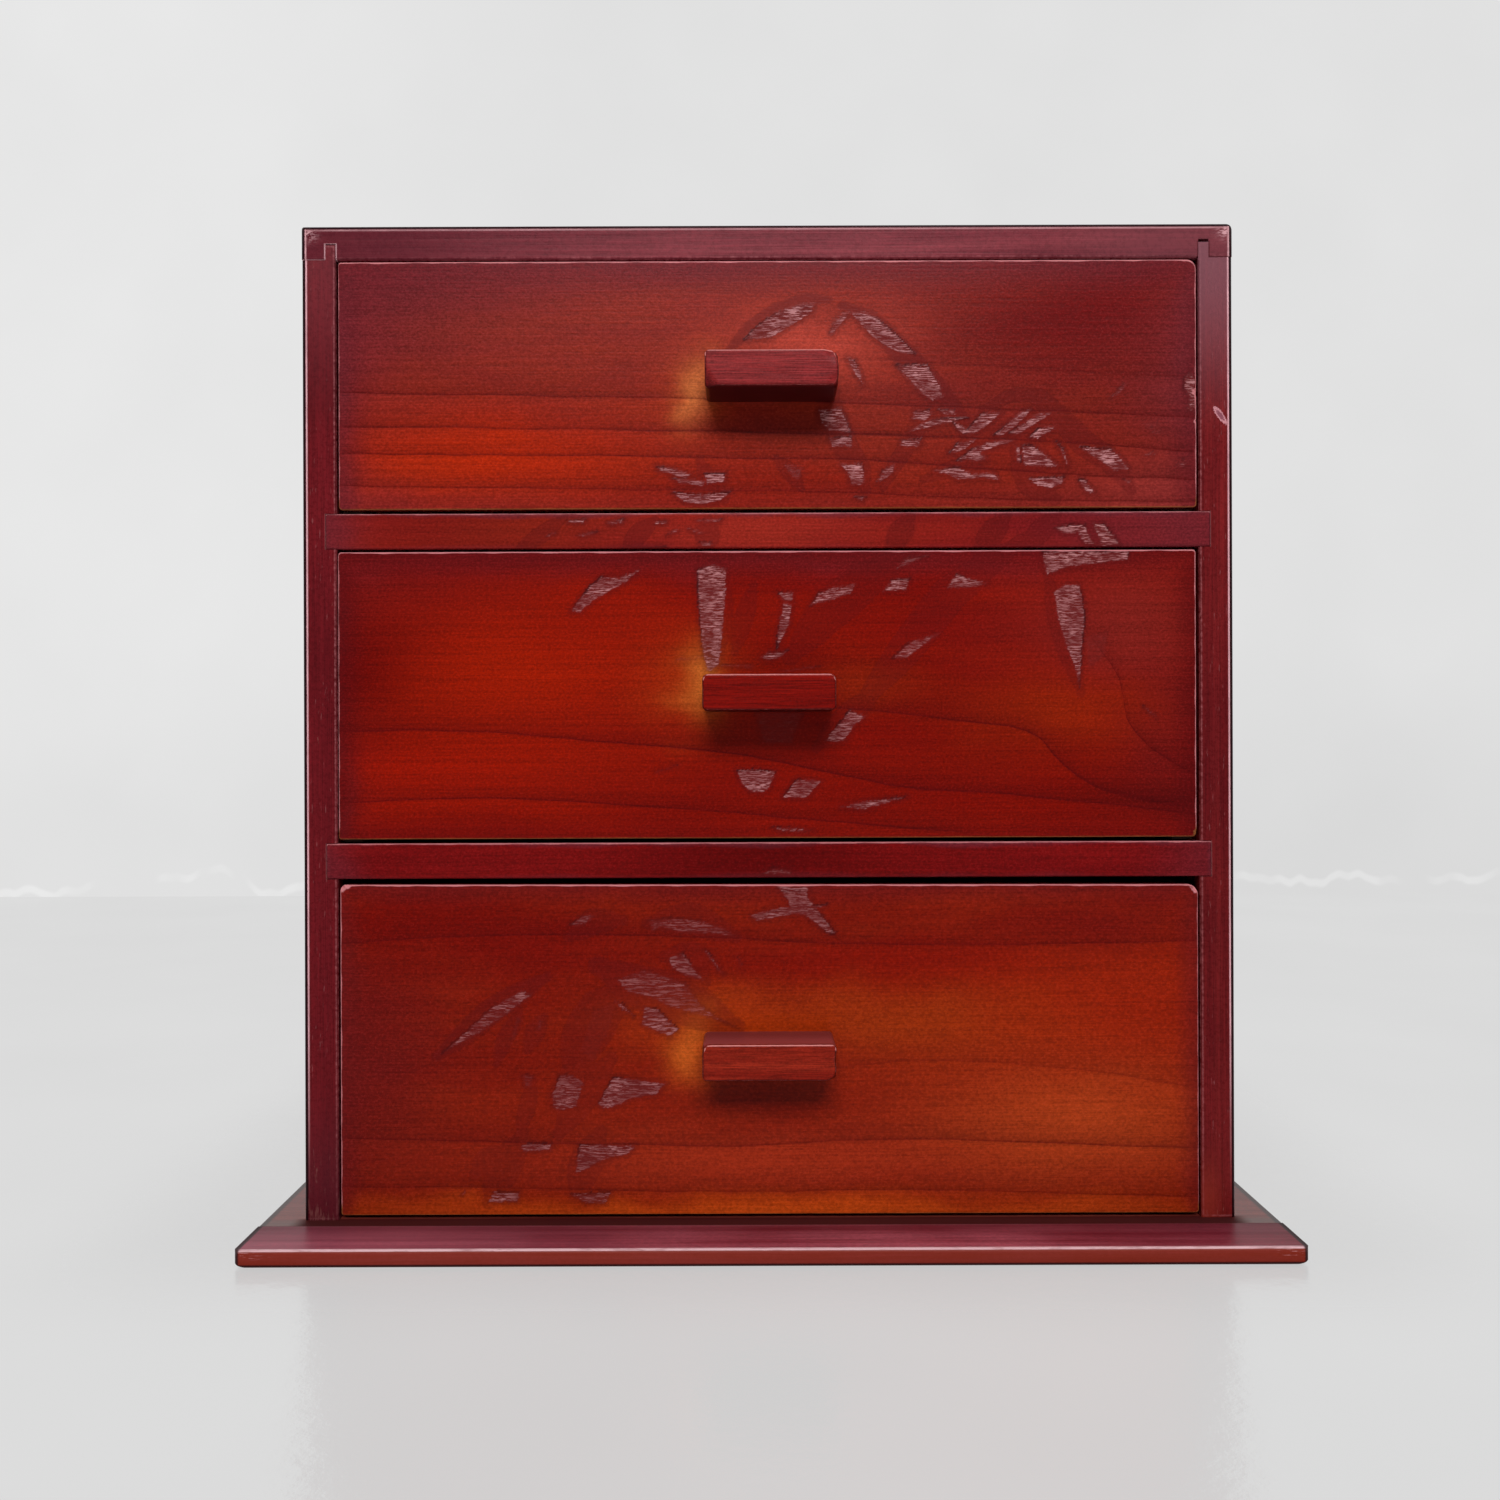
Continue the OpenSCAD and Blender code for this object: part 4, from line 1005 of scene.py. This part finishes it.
def from_arris(places, low, high):
    """How far a point on a box lies from the nearest arris: the middle one of three distances."""
    a, b, c = ((high[axis] - low[axis]) / 2 - abs(place - (low[axis] + high[axis]) / 2)
               for axis, place in enumerate(places))
    return a.at_most(b).at_least(a.at_least(b).at_most(c))


# Half the case's width, and where its front edges lie
CASE, CASE_FRONT = 165, -105


def before_case(x, y):
    """Where the base board lies right in front of the case, under its drawers."""
    return abs(x).rise(CASE + 5, CASE - 2) * y.rise(CASE_FRONT + 2.5, CASE_FRONT + 0.5)


def case_lacquer(name, node, along, dark, light, seed, marks, rub, shine=0.22, coat=0.0,
                 coat_rough=0.1, worn_and_highlight_color=paint(176, 108, 112)):
    """Lacquer on a board with fibres along an axis. marks adds what only this board has."""
    f = Finish(name)
    x, y, z = f.place()
    fibre, band = streaks(f, along, seed)
    mottle = f.grain(1.6, 3, 0.65, seed + 8)
    cloudy = f.grain(50, 2, 0.5, seed + 11)
    streak = f.grain(stretched(along, 24, 0.4), 2, 0.6, seed + 14)
    f.color = f.mix((band * 0.7 + cloudy * 0.5).rise(0.35, 0.85), dark, light)
    f.color = f.brighten(f.color, 0.58 + fibre.rise(0.3, 0.7) * 0.24 + mottle.rise(0.35, 0.65) * 0.2
                         + streak.rise(0.35, 0.65) * 0.2)
    gap = from_arris((x, y, z), *box_mm(node))
    # Pale rubs near the arrises: partly worn lacquer, partly a painted highlight
    rubbed_and_highlit = (gap.rise(1.3, 0.8) * gap.rise(0.15, 0.45) * rub + mottle * 0.6 - 0.3).rise(0.2, 0.6)
    f.lay(rubbed_and_highlit * 0.7, worn_and_highlight_color)
    # A painted dark outline on the arris itself
    f.lay(gap.rise(0.4, 0.1) * 0.6, paint(40, 6, 10))
    f.height = fibre * 0.035 + mottle * 0.03
    f.rough = shine + mottle * 0.12 + rubbed_and_highlit * 0.12
    marks(f, x, y, z)
    if coat:
        coat = coat * (1 - before_case(x, y))
    return f.surface(Coat_Weight=coat, Coat_Roughness=coat_rough, **SATIN)


# %% [markdown]
# ## Worn arrises on the case
# The top board and the side boards have lost their sharp outer arrises. A Bevel modifier needs
# clean edges, and a board from the CAD model is a mesh of loose triangles. Cutting works on any
# closed mesh: a copy's doubles are merged, planes that touch the round cut the arris away, and
# each cut is filled.

# %% Worn arrises on the case boards
# How many planes cut one round
EASE_STEPS = 6


def eased(name, arrises):
    """A copy of a case board from the CAD model, with some of its long arrises worn round.

    Each arris is the two directions that its faces look in, and a radius in millimetres. The round
    is cut by planes that touch it, and each cut is closed.
    """
    bm = bmesh.new()
    bm.from_mesh(nodes[name].data)
    bmesh.ops.remove_doubles(bm, verts=bm.verts, dist=1e-6)
    low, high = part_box(name)
    for first, second, radius in arrises:
        first, second = Vector(first), Vector(second)
        corner = Vector([(high if (first + second)[axis] > 0 else low)[axis] for axis in range(3)])
        center = corner - (first + second) * radius * MM
        for step in range(EASE_STEPS):
            angle = (step + 0.5) / EASE_STEPS * math.pi / 2
            normal = first * math.cos(angle) + second * math.sin(angle)
            bmesh.ops.bisect_plane(bm, geom=bm.verts[:] + bm.edges[:] + bm.faces[:], dist=1e-7,
                                   plane_co=center + normal * radius * MM, plane_no=normal,
                                   clear_outer=True)
            bmesh.ops.holes_fill(bm, edges=[edge for edge in bm.edges if len(edge.link_faces) == 1])
    bmesh.ops.recalc_face_normals(bm, faces=bm.faces)
    made = new_piece(f"{name}_eased", bm)
    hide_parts(name)
    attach(made, "carcass")
    return made


LEFT, RIGHT, FRONT, UP = (-1, 0, 0), (1, 0, 0), (0, -1, 0), (0, 0, 1)
case_boards = {
    "top_board": eased("top_board", [(LEFT, UP, 1.6), (RIGHT, UP, 3.0), (FRONT, UP, 0.8),
                                     (LEFT, FRONT, 1.0), (RIGHT, FRONT, 1.2)]),
    "side_board_left": eased("side_board_left", [(LEFT, FRONT, 1.0)]),
    "side_board_right": eased("side_board_right", [(RIGHT, FRONT, 1.2)]),
}


# %% [markdown]
# ## What only one board shows
# Each board gets its own marks on top of the streaked lacquer: the rails' ends in the side
# boards, the tongue under the top board, nicks, rubs, a painted dark outline on an arris with a
# painted highlight line beside it, and painted sheen and shade on some boards. They could be
# painted by hand on an unwrapped board.
# Written as masks from a point's place in millimetres, they stay where the joints are.

# %% Lacquer the case
# Heights of the rails' edges, and half the width between the ends of their housings
RAIL_EDGES, HOUSING = (127, 139.5, 244, 256.5), 157
# The middle of the tongue's mark over each side board, and half its width and height
TONGUE_X, TONGUE_Z, TONGUE_HALF = 154.8, 346, (1.9, 6.1)


def front_edge(y):
    """1 on the front edge of a case board."""
    return y.rise(CASE_FRONT + 2, CASE_FRONT + 1.4)


def side_marks(side):
    """Joint lines, rubs and dents on a side board's front edge, with painted sheen near its top, a
    painted highlight line and a painted dark outline on the outer arris.
    """
    def marks(f, x, y, z):
        front = front_edge(y)
        fleck = (f.grain((0.7, 3, 5), 2, 0.6, 61) * front).rise(0.66, 0.74)
        f.lay(fleck * 0.4, paint(150, 90, 92))
        # Painted sheen towards the top of the front edge, strong on the right board
        f.lay(z.rise(280, 352) * front * (0.8 if side > 0 else 0.15), paint(126, 80, 90))
        foot = (f.grain((1.2, 6, 8), 3, 0.7, 67)
                + z.rise(46, 6) * (0.17 if side < 0 else 0.06) * front)
        scratched = (foot * front).rise(0.70, 0.80)
        f.lay(scratched * 0.55, paint(164, 106, 98))
        if side > 0:
            f.lay(cloud(x, z, (155, 12), (5, 14), 0.6) * front, paint(144, 48, 36))
            # A leaning nick beside the top drawer: pale around a dark middle
            lean = x + (z - 290.5) * 0.6
            nick = (cloud(lean, z, (160.6, 290.5), (1.6, 3.8), 1.0)
                    + f.grain((0.8, 0.8, 0.4), 3, 0.7, 70) * 0.8)
            f.lay(nick.rise(0.84, 0.96) * front * 0.85, paint(208, 144, 152))
            f.lay(nick.rise(1.08, 1.25) * front * 0.8, paint(112, 50, 66))
        else:
            f.lay(z.rise(60, 10) * front * 0.6, paint(84, 28, 38))
        tone = f.grain((2, 2, 9), 3, 0.65, 64)
        edge = CASE - x * side
        # A painted highlight line just inside the outer arris
        line = edge.rise(2.05, 1.6) * edge.rise(1.15, 1.4) * z.rise(10, 90) * (0.35 + tone)
        f.lay(line.at_most(0.95), paint(232, 176, 184))
        # A painted dark outline on the outer arris
        f.lay(edge.rise(1.4, 1.1) * y.rise(CASE_FRONT + 4, CASE_FRONT + 3) * 0.96, paint(20, 3, 7))
        for joint_z in RAIL_EDGES:
            near_line = (abs(z - joint_z) / 0.3).rise(1, 0)
            housed = (x * side).rise(HOUSING + 0.3, HOUSING - 0.1)
            f.lay(near_line * housed * front * 0.6, paint(44, 8, 12))
        end_line = (abs((x * side) - HOUSING) / 0.28).rise(1, 0)
        in_lower, in_upper = (z.rise(bottom - 0.5, bottom + 0.3) * z.rise(top + 0.4, top - 0.2)
                              for bottom, top in pairs(RAIL_EDGES))
        f.lay(end_line * (in_lower + in_upper) * front * 0.65, paint(160, 96, 98))
        f.height = f.height - scratched * 0.08
        f.rough = f.rough + scratched * 0.15
    return marks


def top_marks(f, x, y, z):
    """The top board's marks: darker to the left, painted sheen to the right, painted highlights
    along the top arris, the ends and corners, a painted dark outline and the joints over the side
    boards.
    """
    low, high = box_mm("top_board")
    front = front_edge(y)
    tone = f.grain((9, 2, 2), 3, 0.65, 57)
    # Darker towards the left end, and painted sheen towards the right end
    f.lay(x.rise(-60, -140) * 0.62, paint(76, 14, 28))
    f.lay(x.rise(90, 150) * 0.4, paint(128, 70, 78))
    below, edge = high.z - z, high.x - abs(x)
    # Painted highlights along the top arris, down the ends and on the corners
    pale = below.rise(1.9, 1.5) * below.rise(1.0, 1.2) * (0.1 + tone * 0.6)
    pale = pale.at_least(edge.rise(2.05, 1.6) * edge.rise(1.15, 1.4) * (0.3 + tone * 0.9))
    fleck = f.grain((1.6, 1.6, 0.5), 3, 0.7, 59)
    corner = cloud(abs(x), z, (162.6, 355.9), (2.4, 2.4), 1.0) * fleck.rise(0.42, 0.6)
    f.lay(pale.at_least(corner * 0.9).at_most(0.95) * front, paint(224, 170, 176))
    # A painted dark outline on the front arrises
    outline = below.rise(1.2, 0.9).at_least(edge.rise(1.4, 1.1))
    f.lay(outline * y.rise(CASE_FRONT + 4, CASE_FRONT + 3) * 0.95, paint(20, 4, 8))
    joint = (z - low.z).rise(0.45, 0.2) * abs(x).rise(HOUSING - 1, HOUSING) * front
    across, up = TONGUE_HALF
    tongue = (abs(abs(x) - TONGUE_X) - across).at_least(abs(z - TONGUE_Z) - up)
    joint = joint.at_least(tongue.rise(0.5, 0.2) * front)
    f.lay(joint * (0.35 + tone * 0.8),
          f.mix(x.rise(-1, 1), paint(196, 150, 156), paint(70, 20, 26)))


SIDE_STAIN = {"side_board_left": (-1, paint(84, 12, 19), paint(110, 22, 29), 37),
              "side_board_right": (1, paint(92, 15, 20), paint(122, 30, 31), 43)}
for name, (side, dark, light, seed) in SIDE_STAIN.items():
    wear_finish(case_boards[name], case_lacquer(
        f"{name}_lacquer", name, 2, dark, light, seed, side_marks(side), 0.35))
wear_finish(case_boards["top_board"], case_lacquer(
    "top_board_lacquer", "top_board", 0, paint(92, 24, 36), paint(134, 54, 62), 52, top_marks, 0.3))


# %% Lacquer the base
def base_marks(f, x, y, z):
    """A painted grey reflection on the top in front of the case, a painted dark outline on the
    ends, and painted shade right under the drawers.
    """
    _, high = box_mm("base_board")
    # A painted grey reflection on the top in front of the case
    f.lay(y.rise(CASE_FRONT + 2, CASE_FRONT - 3) * 0.5, paint(84, 74, 66))
    # A painted dark outline on the ends
    f.lay((high.x - abs(x)).rise(3.2, 1.8) * 0.85, paint(26, 9, 10))
    # Painted shade where the top lies right in front of the case, under its drawers
    f.lay(before_case(x, y) * 0.85, paint(58, 12, 16))
    f.rough = f.rough + before_case(x, y) * 0.3


def strip_marks(f, x, y, z):
    """A red-brown front face, scuffs on top, scratched ends, a painted broken highlight on the top
    arris, and painted shade along the face's lower edge and at the ends.
    """
    low, high = box_mm("base_front_strip")
    face = y.rise(low.y + 1.2, low.y + 0.3)
    end = high.x - abs(x)
    f.lay(face * 0.9, paint(126, 40, 20))
    scuff = f.grain((12, 1.5, 3), 3, 0.7, 83).rise(0.64, 0.74) * (1 - face)
    f.lay(scuff * 0.45, paint(176, 116, 124))
    f.lay(x.rise(-20, -120) * (1 - face) * 0.38, paint(178, 104, 122))
    f.lay(x.rise(40, 150) * (1 - face) * 0.45, paint(106, 22, 38))
    f.lay(z.rise(4.2, 1.4) * face * 0.2, paint(84, 20, 16))
    # A painted highlight along the top arris, broken here and there
    arris = (y - low.y).rise(1.9, 1.2) * (y - low.y).rise(0.2, 0.5) * z.rise(4, 5.0)
    broken = (f.grain((10, 2, 2), 3, 0.65, 86) * 2.4 - 0.3).at_most(0.95)
    f.lay(arris * broken, paint(244, 200, 206))
    scratch = f.grain((5, 2, 0.35), 3, 0.7, 88).rise(0.56, 0.66) * end.rise(16, 4) * z.rise(2.5, 4)
    f.lay(scratch * face * 0.7, paint(206, 146, 148))
    f.lay(y.rise(high.y - 18, high.y - 2) * (1 - face) * 0.6, paint(84, 18, 34))
    # Painted shade: a dark line along the face's lower edge and dark outlines at the ends
    f.lay((z.rise(1.5, 0.9) * face).at_least(end.rise(2.1, 1.3)) * 0.92, paint(26, 5, 8))
    f.lay(y.rise(high.y - 0.5, high.y - 0.1) * 0.6, paint(60, 16, 22))
    f.height = f.height - scuff * 0.03


wear_finish(nodes["base_board"], case_lacquer(
    "base_board_lacquer", "base_board", 0, paint(112, 38, 32), paint(144, 64, 54), 71,
    base_marks, 0.3, shine=0.3, coat=0.38, coat_rough=0.06))
wear_finish(nodes["base_front_strip"], case_lacquer(
    "base_strip_lacquer", "base_front_strip", 0, paint(126, 28, 44), paint(204, 104, 120), 77,
    strip_marks, 0.5, shine=0.3, worn_and_highlight_color=paint(186, 126, 126)))


# %% Lacquer the pulls
def pull_lacquer(drawer, dark, light, painted_top_light, seed):
    """Lacquer on a pull: streaks, painted light on the upper face, painted shade on the lower face
    and towards the back, a painted dark outline, and worn arrises with a painted highlight.
    """
    f = Finish(f"{drawer}_pull_lacquer")
    x, y, z = f.place()
    low, high = box_mm(f"{drawer}_drawer_pull")
    fibre, band = streaks(f, 0, seed, 0.8)
    mottle = f.grain((0.8, 0.8, 0.6), 3, 0.7, seed + 8)
    streak = f.grain((10, 0.8, 0.42), 3, 0.7, seed + 3)
    f.color = f.mix(band.rise(0.3, 0.7), paint(*dark), paint(*light))
    f.color = f.brighten(f.color, 0.4 + fibre.rise(0.3, 0.7) * 0.24 + streak.rise(0.38, 0.62) * 0.5
                         + mottle.rise(0.3, 0.7) * 0.34)
    # A painted dark outline round the pull's face
    beside = (low.x - x).at_least(x - high.x).at_least(low.z - z)
    f.lay(beside.rise(-0.8, -0.2) * 0.6, paint(44, 8, 10))
    # Painted light on the upper face, and painted shade on the lower face
    behind = (y - low.y).rise(1.0, 2.6)
    f.lay((high.z - z).rise(1.6, 0.4) * behind * 0.75, paint(*painted_top_light))
    f.lay((z - low.z).rise(1.6, 0.4) * behind * 0.75, paint(44, 6, 8))
    # Painted shade towards the back, near the drawer front
    f.lay(y.rise(low.y + 4, low.y + 18) * 0.5, paint(70, 8, 8))
    # Pale worn arrises with a painted highlight
    worn = (f.attribute("bare") + mottle * 0.5 - 0.25).rise(0.35, 0.8)
    f.lay(worn * 0.95, paint(222, 142, 138))
    f.height = fibre * 0.06 + mottle * 0.03
    f.rough = 0.24 + mottle * 0.12 + worn * 0.1
    return f.surface(**SATIN)


# Each pull: dark and light stain, and the painted light on its upper face
PULL_STAIN = {"top": ((116, 26, 28), (138, 42, 42), (130, 60, 70)),
              "middle": ((108, 7, 3), (128, 15, 6), (130, 50, 50)),
              "bottom": ((126, 26, 14), (148, 42, 24), (168, 80, 82))}
for seed, (drawer, tones) in enumerate(PULL_STAIN.items()):
    wear_finish(pulls[drawer], pull_lacquer(drawer, *tones, 90 + seed * 3.7))


# %% [markdown]
# ## Bare wood inside
# Behind the fronts the drawers are plain planed softwood, with thin plywood bottoms and back,
# glued pegs, and a few screws and nails. Nothing there is stained. Planed softwood shows broad
# soft rings along the board and a fine fuzz of fibres; plywood shows a smoother face, and its
# layers as dark and light lines along its edges.

# %% Planed softwood and plywood
BARE_SHINE = 0.35


def planed_wood(name, along, early, late, seed, period=9.0, stained_to=None):
    """Bare wood: rings are bands across the board, bent by slow noise, sharp on one side."""
    f = Finish(name)
    places = f.place()
    across = places[2 if along != 2 else 1] + places[1 if along == 0 else 0] * 0.35
    bend = f.grain(stretched(along, 260, 34), 3, 0.5, seed)
    turn = ((across + bend * 30) / period).math("FRACT")
    ring = (turn * turn * turn) * turn.rise(1.0, 0.93)
    fibre, band = streaks(f, along, seed + 6)
    mottle = f.grain(3, 3, 0.6, seed + 9)
    f.color = f.brighten(f.mix(ring * 0.75, early, late),
                         0.80 + fibre * 0.16 + band * 0.14 + mottle * 0.1)
    if stained_to:
        f.lay((places[1] + mottle * 3).rise(stained_to + 6, stained_to) * 0.95, paint(44, 8, 10))
    f.height = fibre * 0.05 + ring * 0.02
    f.rough = 0.62 + mottle * 0.12 - ring * 0.08
    return f.surface(Specular_IOR_Level=BARE_SHINE)


def plywood(name, node, thin_axis, along, early, late, seed):
    """Three-ply: a plain face, and its layers seen on the edges."""
    f = Finish(name)
    places = f.place()
    low, high = box_mm(node)
    t = (places[thin_axis] - low[thin_axis]) / (high[thin_axis] - low[thin_axis])
    inner = t.rise(0.0, 0.04) * t.rise(1.0, 0.96)
    layer = (t * 3).math("FRACT")
    fibre, band = streaks(f, along, seed)
    blotch = f.grain((30, 30, 12), 3, 0.6, seed + 5)
    f.color = f.mix((band * 0.6 + blotch * 0.6).rise(0.35, 0.8), early, late)
    f.lay(inner * (t.rise(0.32, 0.34) * t.rise(0.68, 0.66)) * 0.4, late)
    f.lay(inner * (layer.rise(0.12, 0.0) + layer.rise(0.88, 1.0)) * 0.6, paint(92, 62, 36))
    f.color = f.brighten(f.color, 0.82 + fibre * 0.26)
    f.height = fibre * 0.05
    f.rough = 0.6 + fibre * 0.1
    return f.surface(Specular_IOR_Level=BARE_SHINE)


PINE, PINE_RING = paint(206, 172, 128), paint(168, 122, 76)
side_wood = planed_wood("drawer_side_wood", 1, PINE, PINE_RING, 101, stained_to=-86)
back_wood = planed_wood("drawer_back_wood", 0, paint(202, 168, 124), PINE_RING, 104)
runner_wood = planed_wood("runner_wood", 1, paint(188, 150, 104), paint(142, 98, 58), 107, 7.0)
for drawer in FRONTS:
    for side in ("left", "right"):
        wear_finish(nodes[f"{drawer}_drawer_side_{side}"], side_wood)
    wear_finish(nodes[f"{drawer}_drawer_back"], back_wood)
    bottom = f"{drawer}_drawer_bottom"
    wear_finish(nodes[bottom], plywood(
        f"{drawer}_bottom_plywood", bottom, 2, 0, paint(198, 162, 116), paint(176, 134, 88), 112))
for rail in ("upper", "lower"):
    for side in ("left", "right"):
        wear_finish(nodes[f"{rail}_runner_{side}"], runner_wood)
wear_finish(nodes["back_panel"], plywood(
    "back_plywood", "back_panel", 1, 2, paint(176, 132, 84), paint(146, 100, 58), 118))


# %% Pegs, screws and nails
def peg_wood():
    f = Finish("peg_wood")
    f.place()
    pith = f.grain(0.5, 3, 0.7, 131)
    f.color = f.mix(pith.rise(0.3, 0.7), paint(186, 146, 92), paint(150, 108, 62))
    f.color = f.brighten(f.color, 0.85 + f.grain(6, 2, 0.5, 135) * 0.3)
    f.height = pith * 0.05
    f.rough = 0.5 + pith * 0.2
    return f.surface()


def dull_steel(name, bright, rust, seed):
    f = Finish(name)
    f.place()
    haze = f.grain(1.2, 4, 0.65, seed)
    spot = f.grain(0.5, 3, 0.7, seed + 4).rise(0.58, 0.7)
    f.color = f.brighten(f.mix(spot * rust, bright, paint(96, 62, 40)), 0.8 + haze * 0.4)
    f.height = haze * 0.02 + spot * 0.02
    f.rough = 0.32 + haze * 0.2 + spot * 0.2
    return f.surface(Metallic=1 - spot * rust)


pegs = peg_wood()
screw_steel = dull_steel("screw_steel", paint(190, 186, 178), 0.35, 141)
wear_finish(nodes["base_screws"], screw_steel)
wear_finish(nodes["back_nails"], dull_steel("nail_steel", paint(150, 146, 140), 0.8, 147))
for drawer in FRONTS:
    wear_finish(nodes[f"{drawer}_drawer_pegs"], pegs)
    wear_finish(nodes[f"{drawer}_pull_screws"], screw_steel)
print("all", len(nodes), "nodes have a finish of their own or a piece in their place")
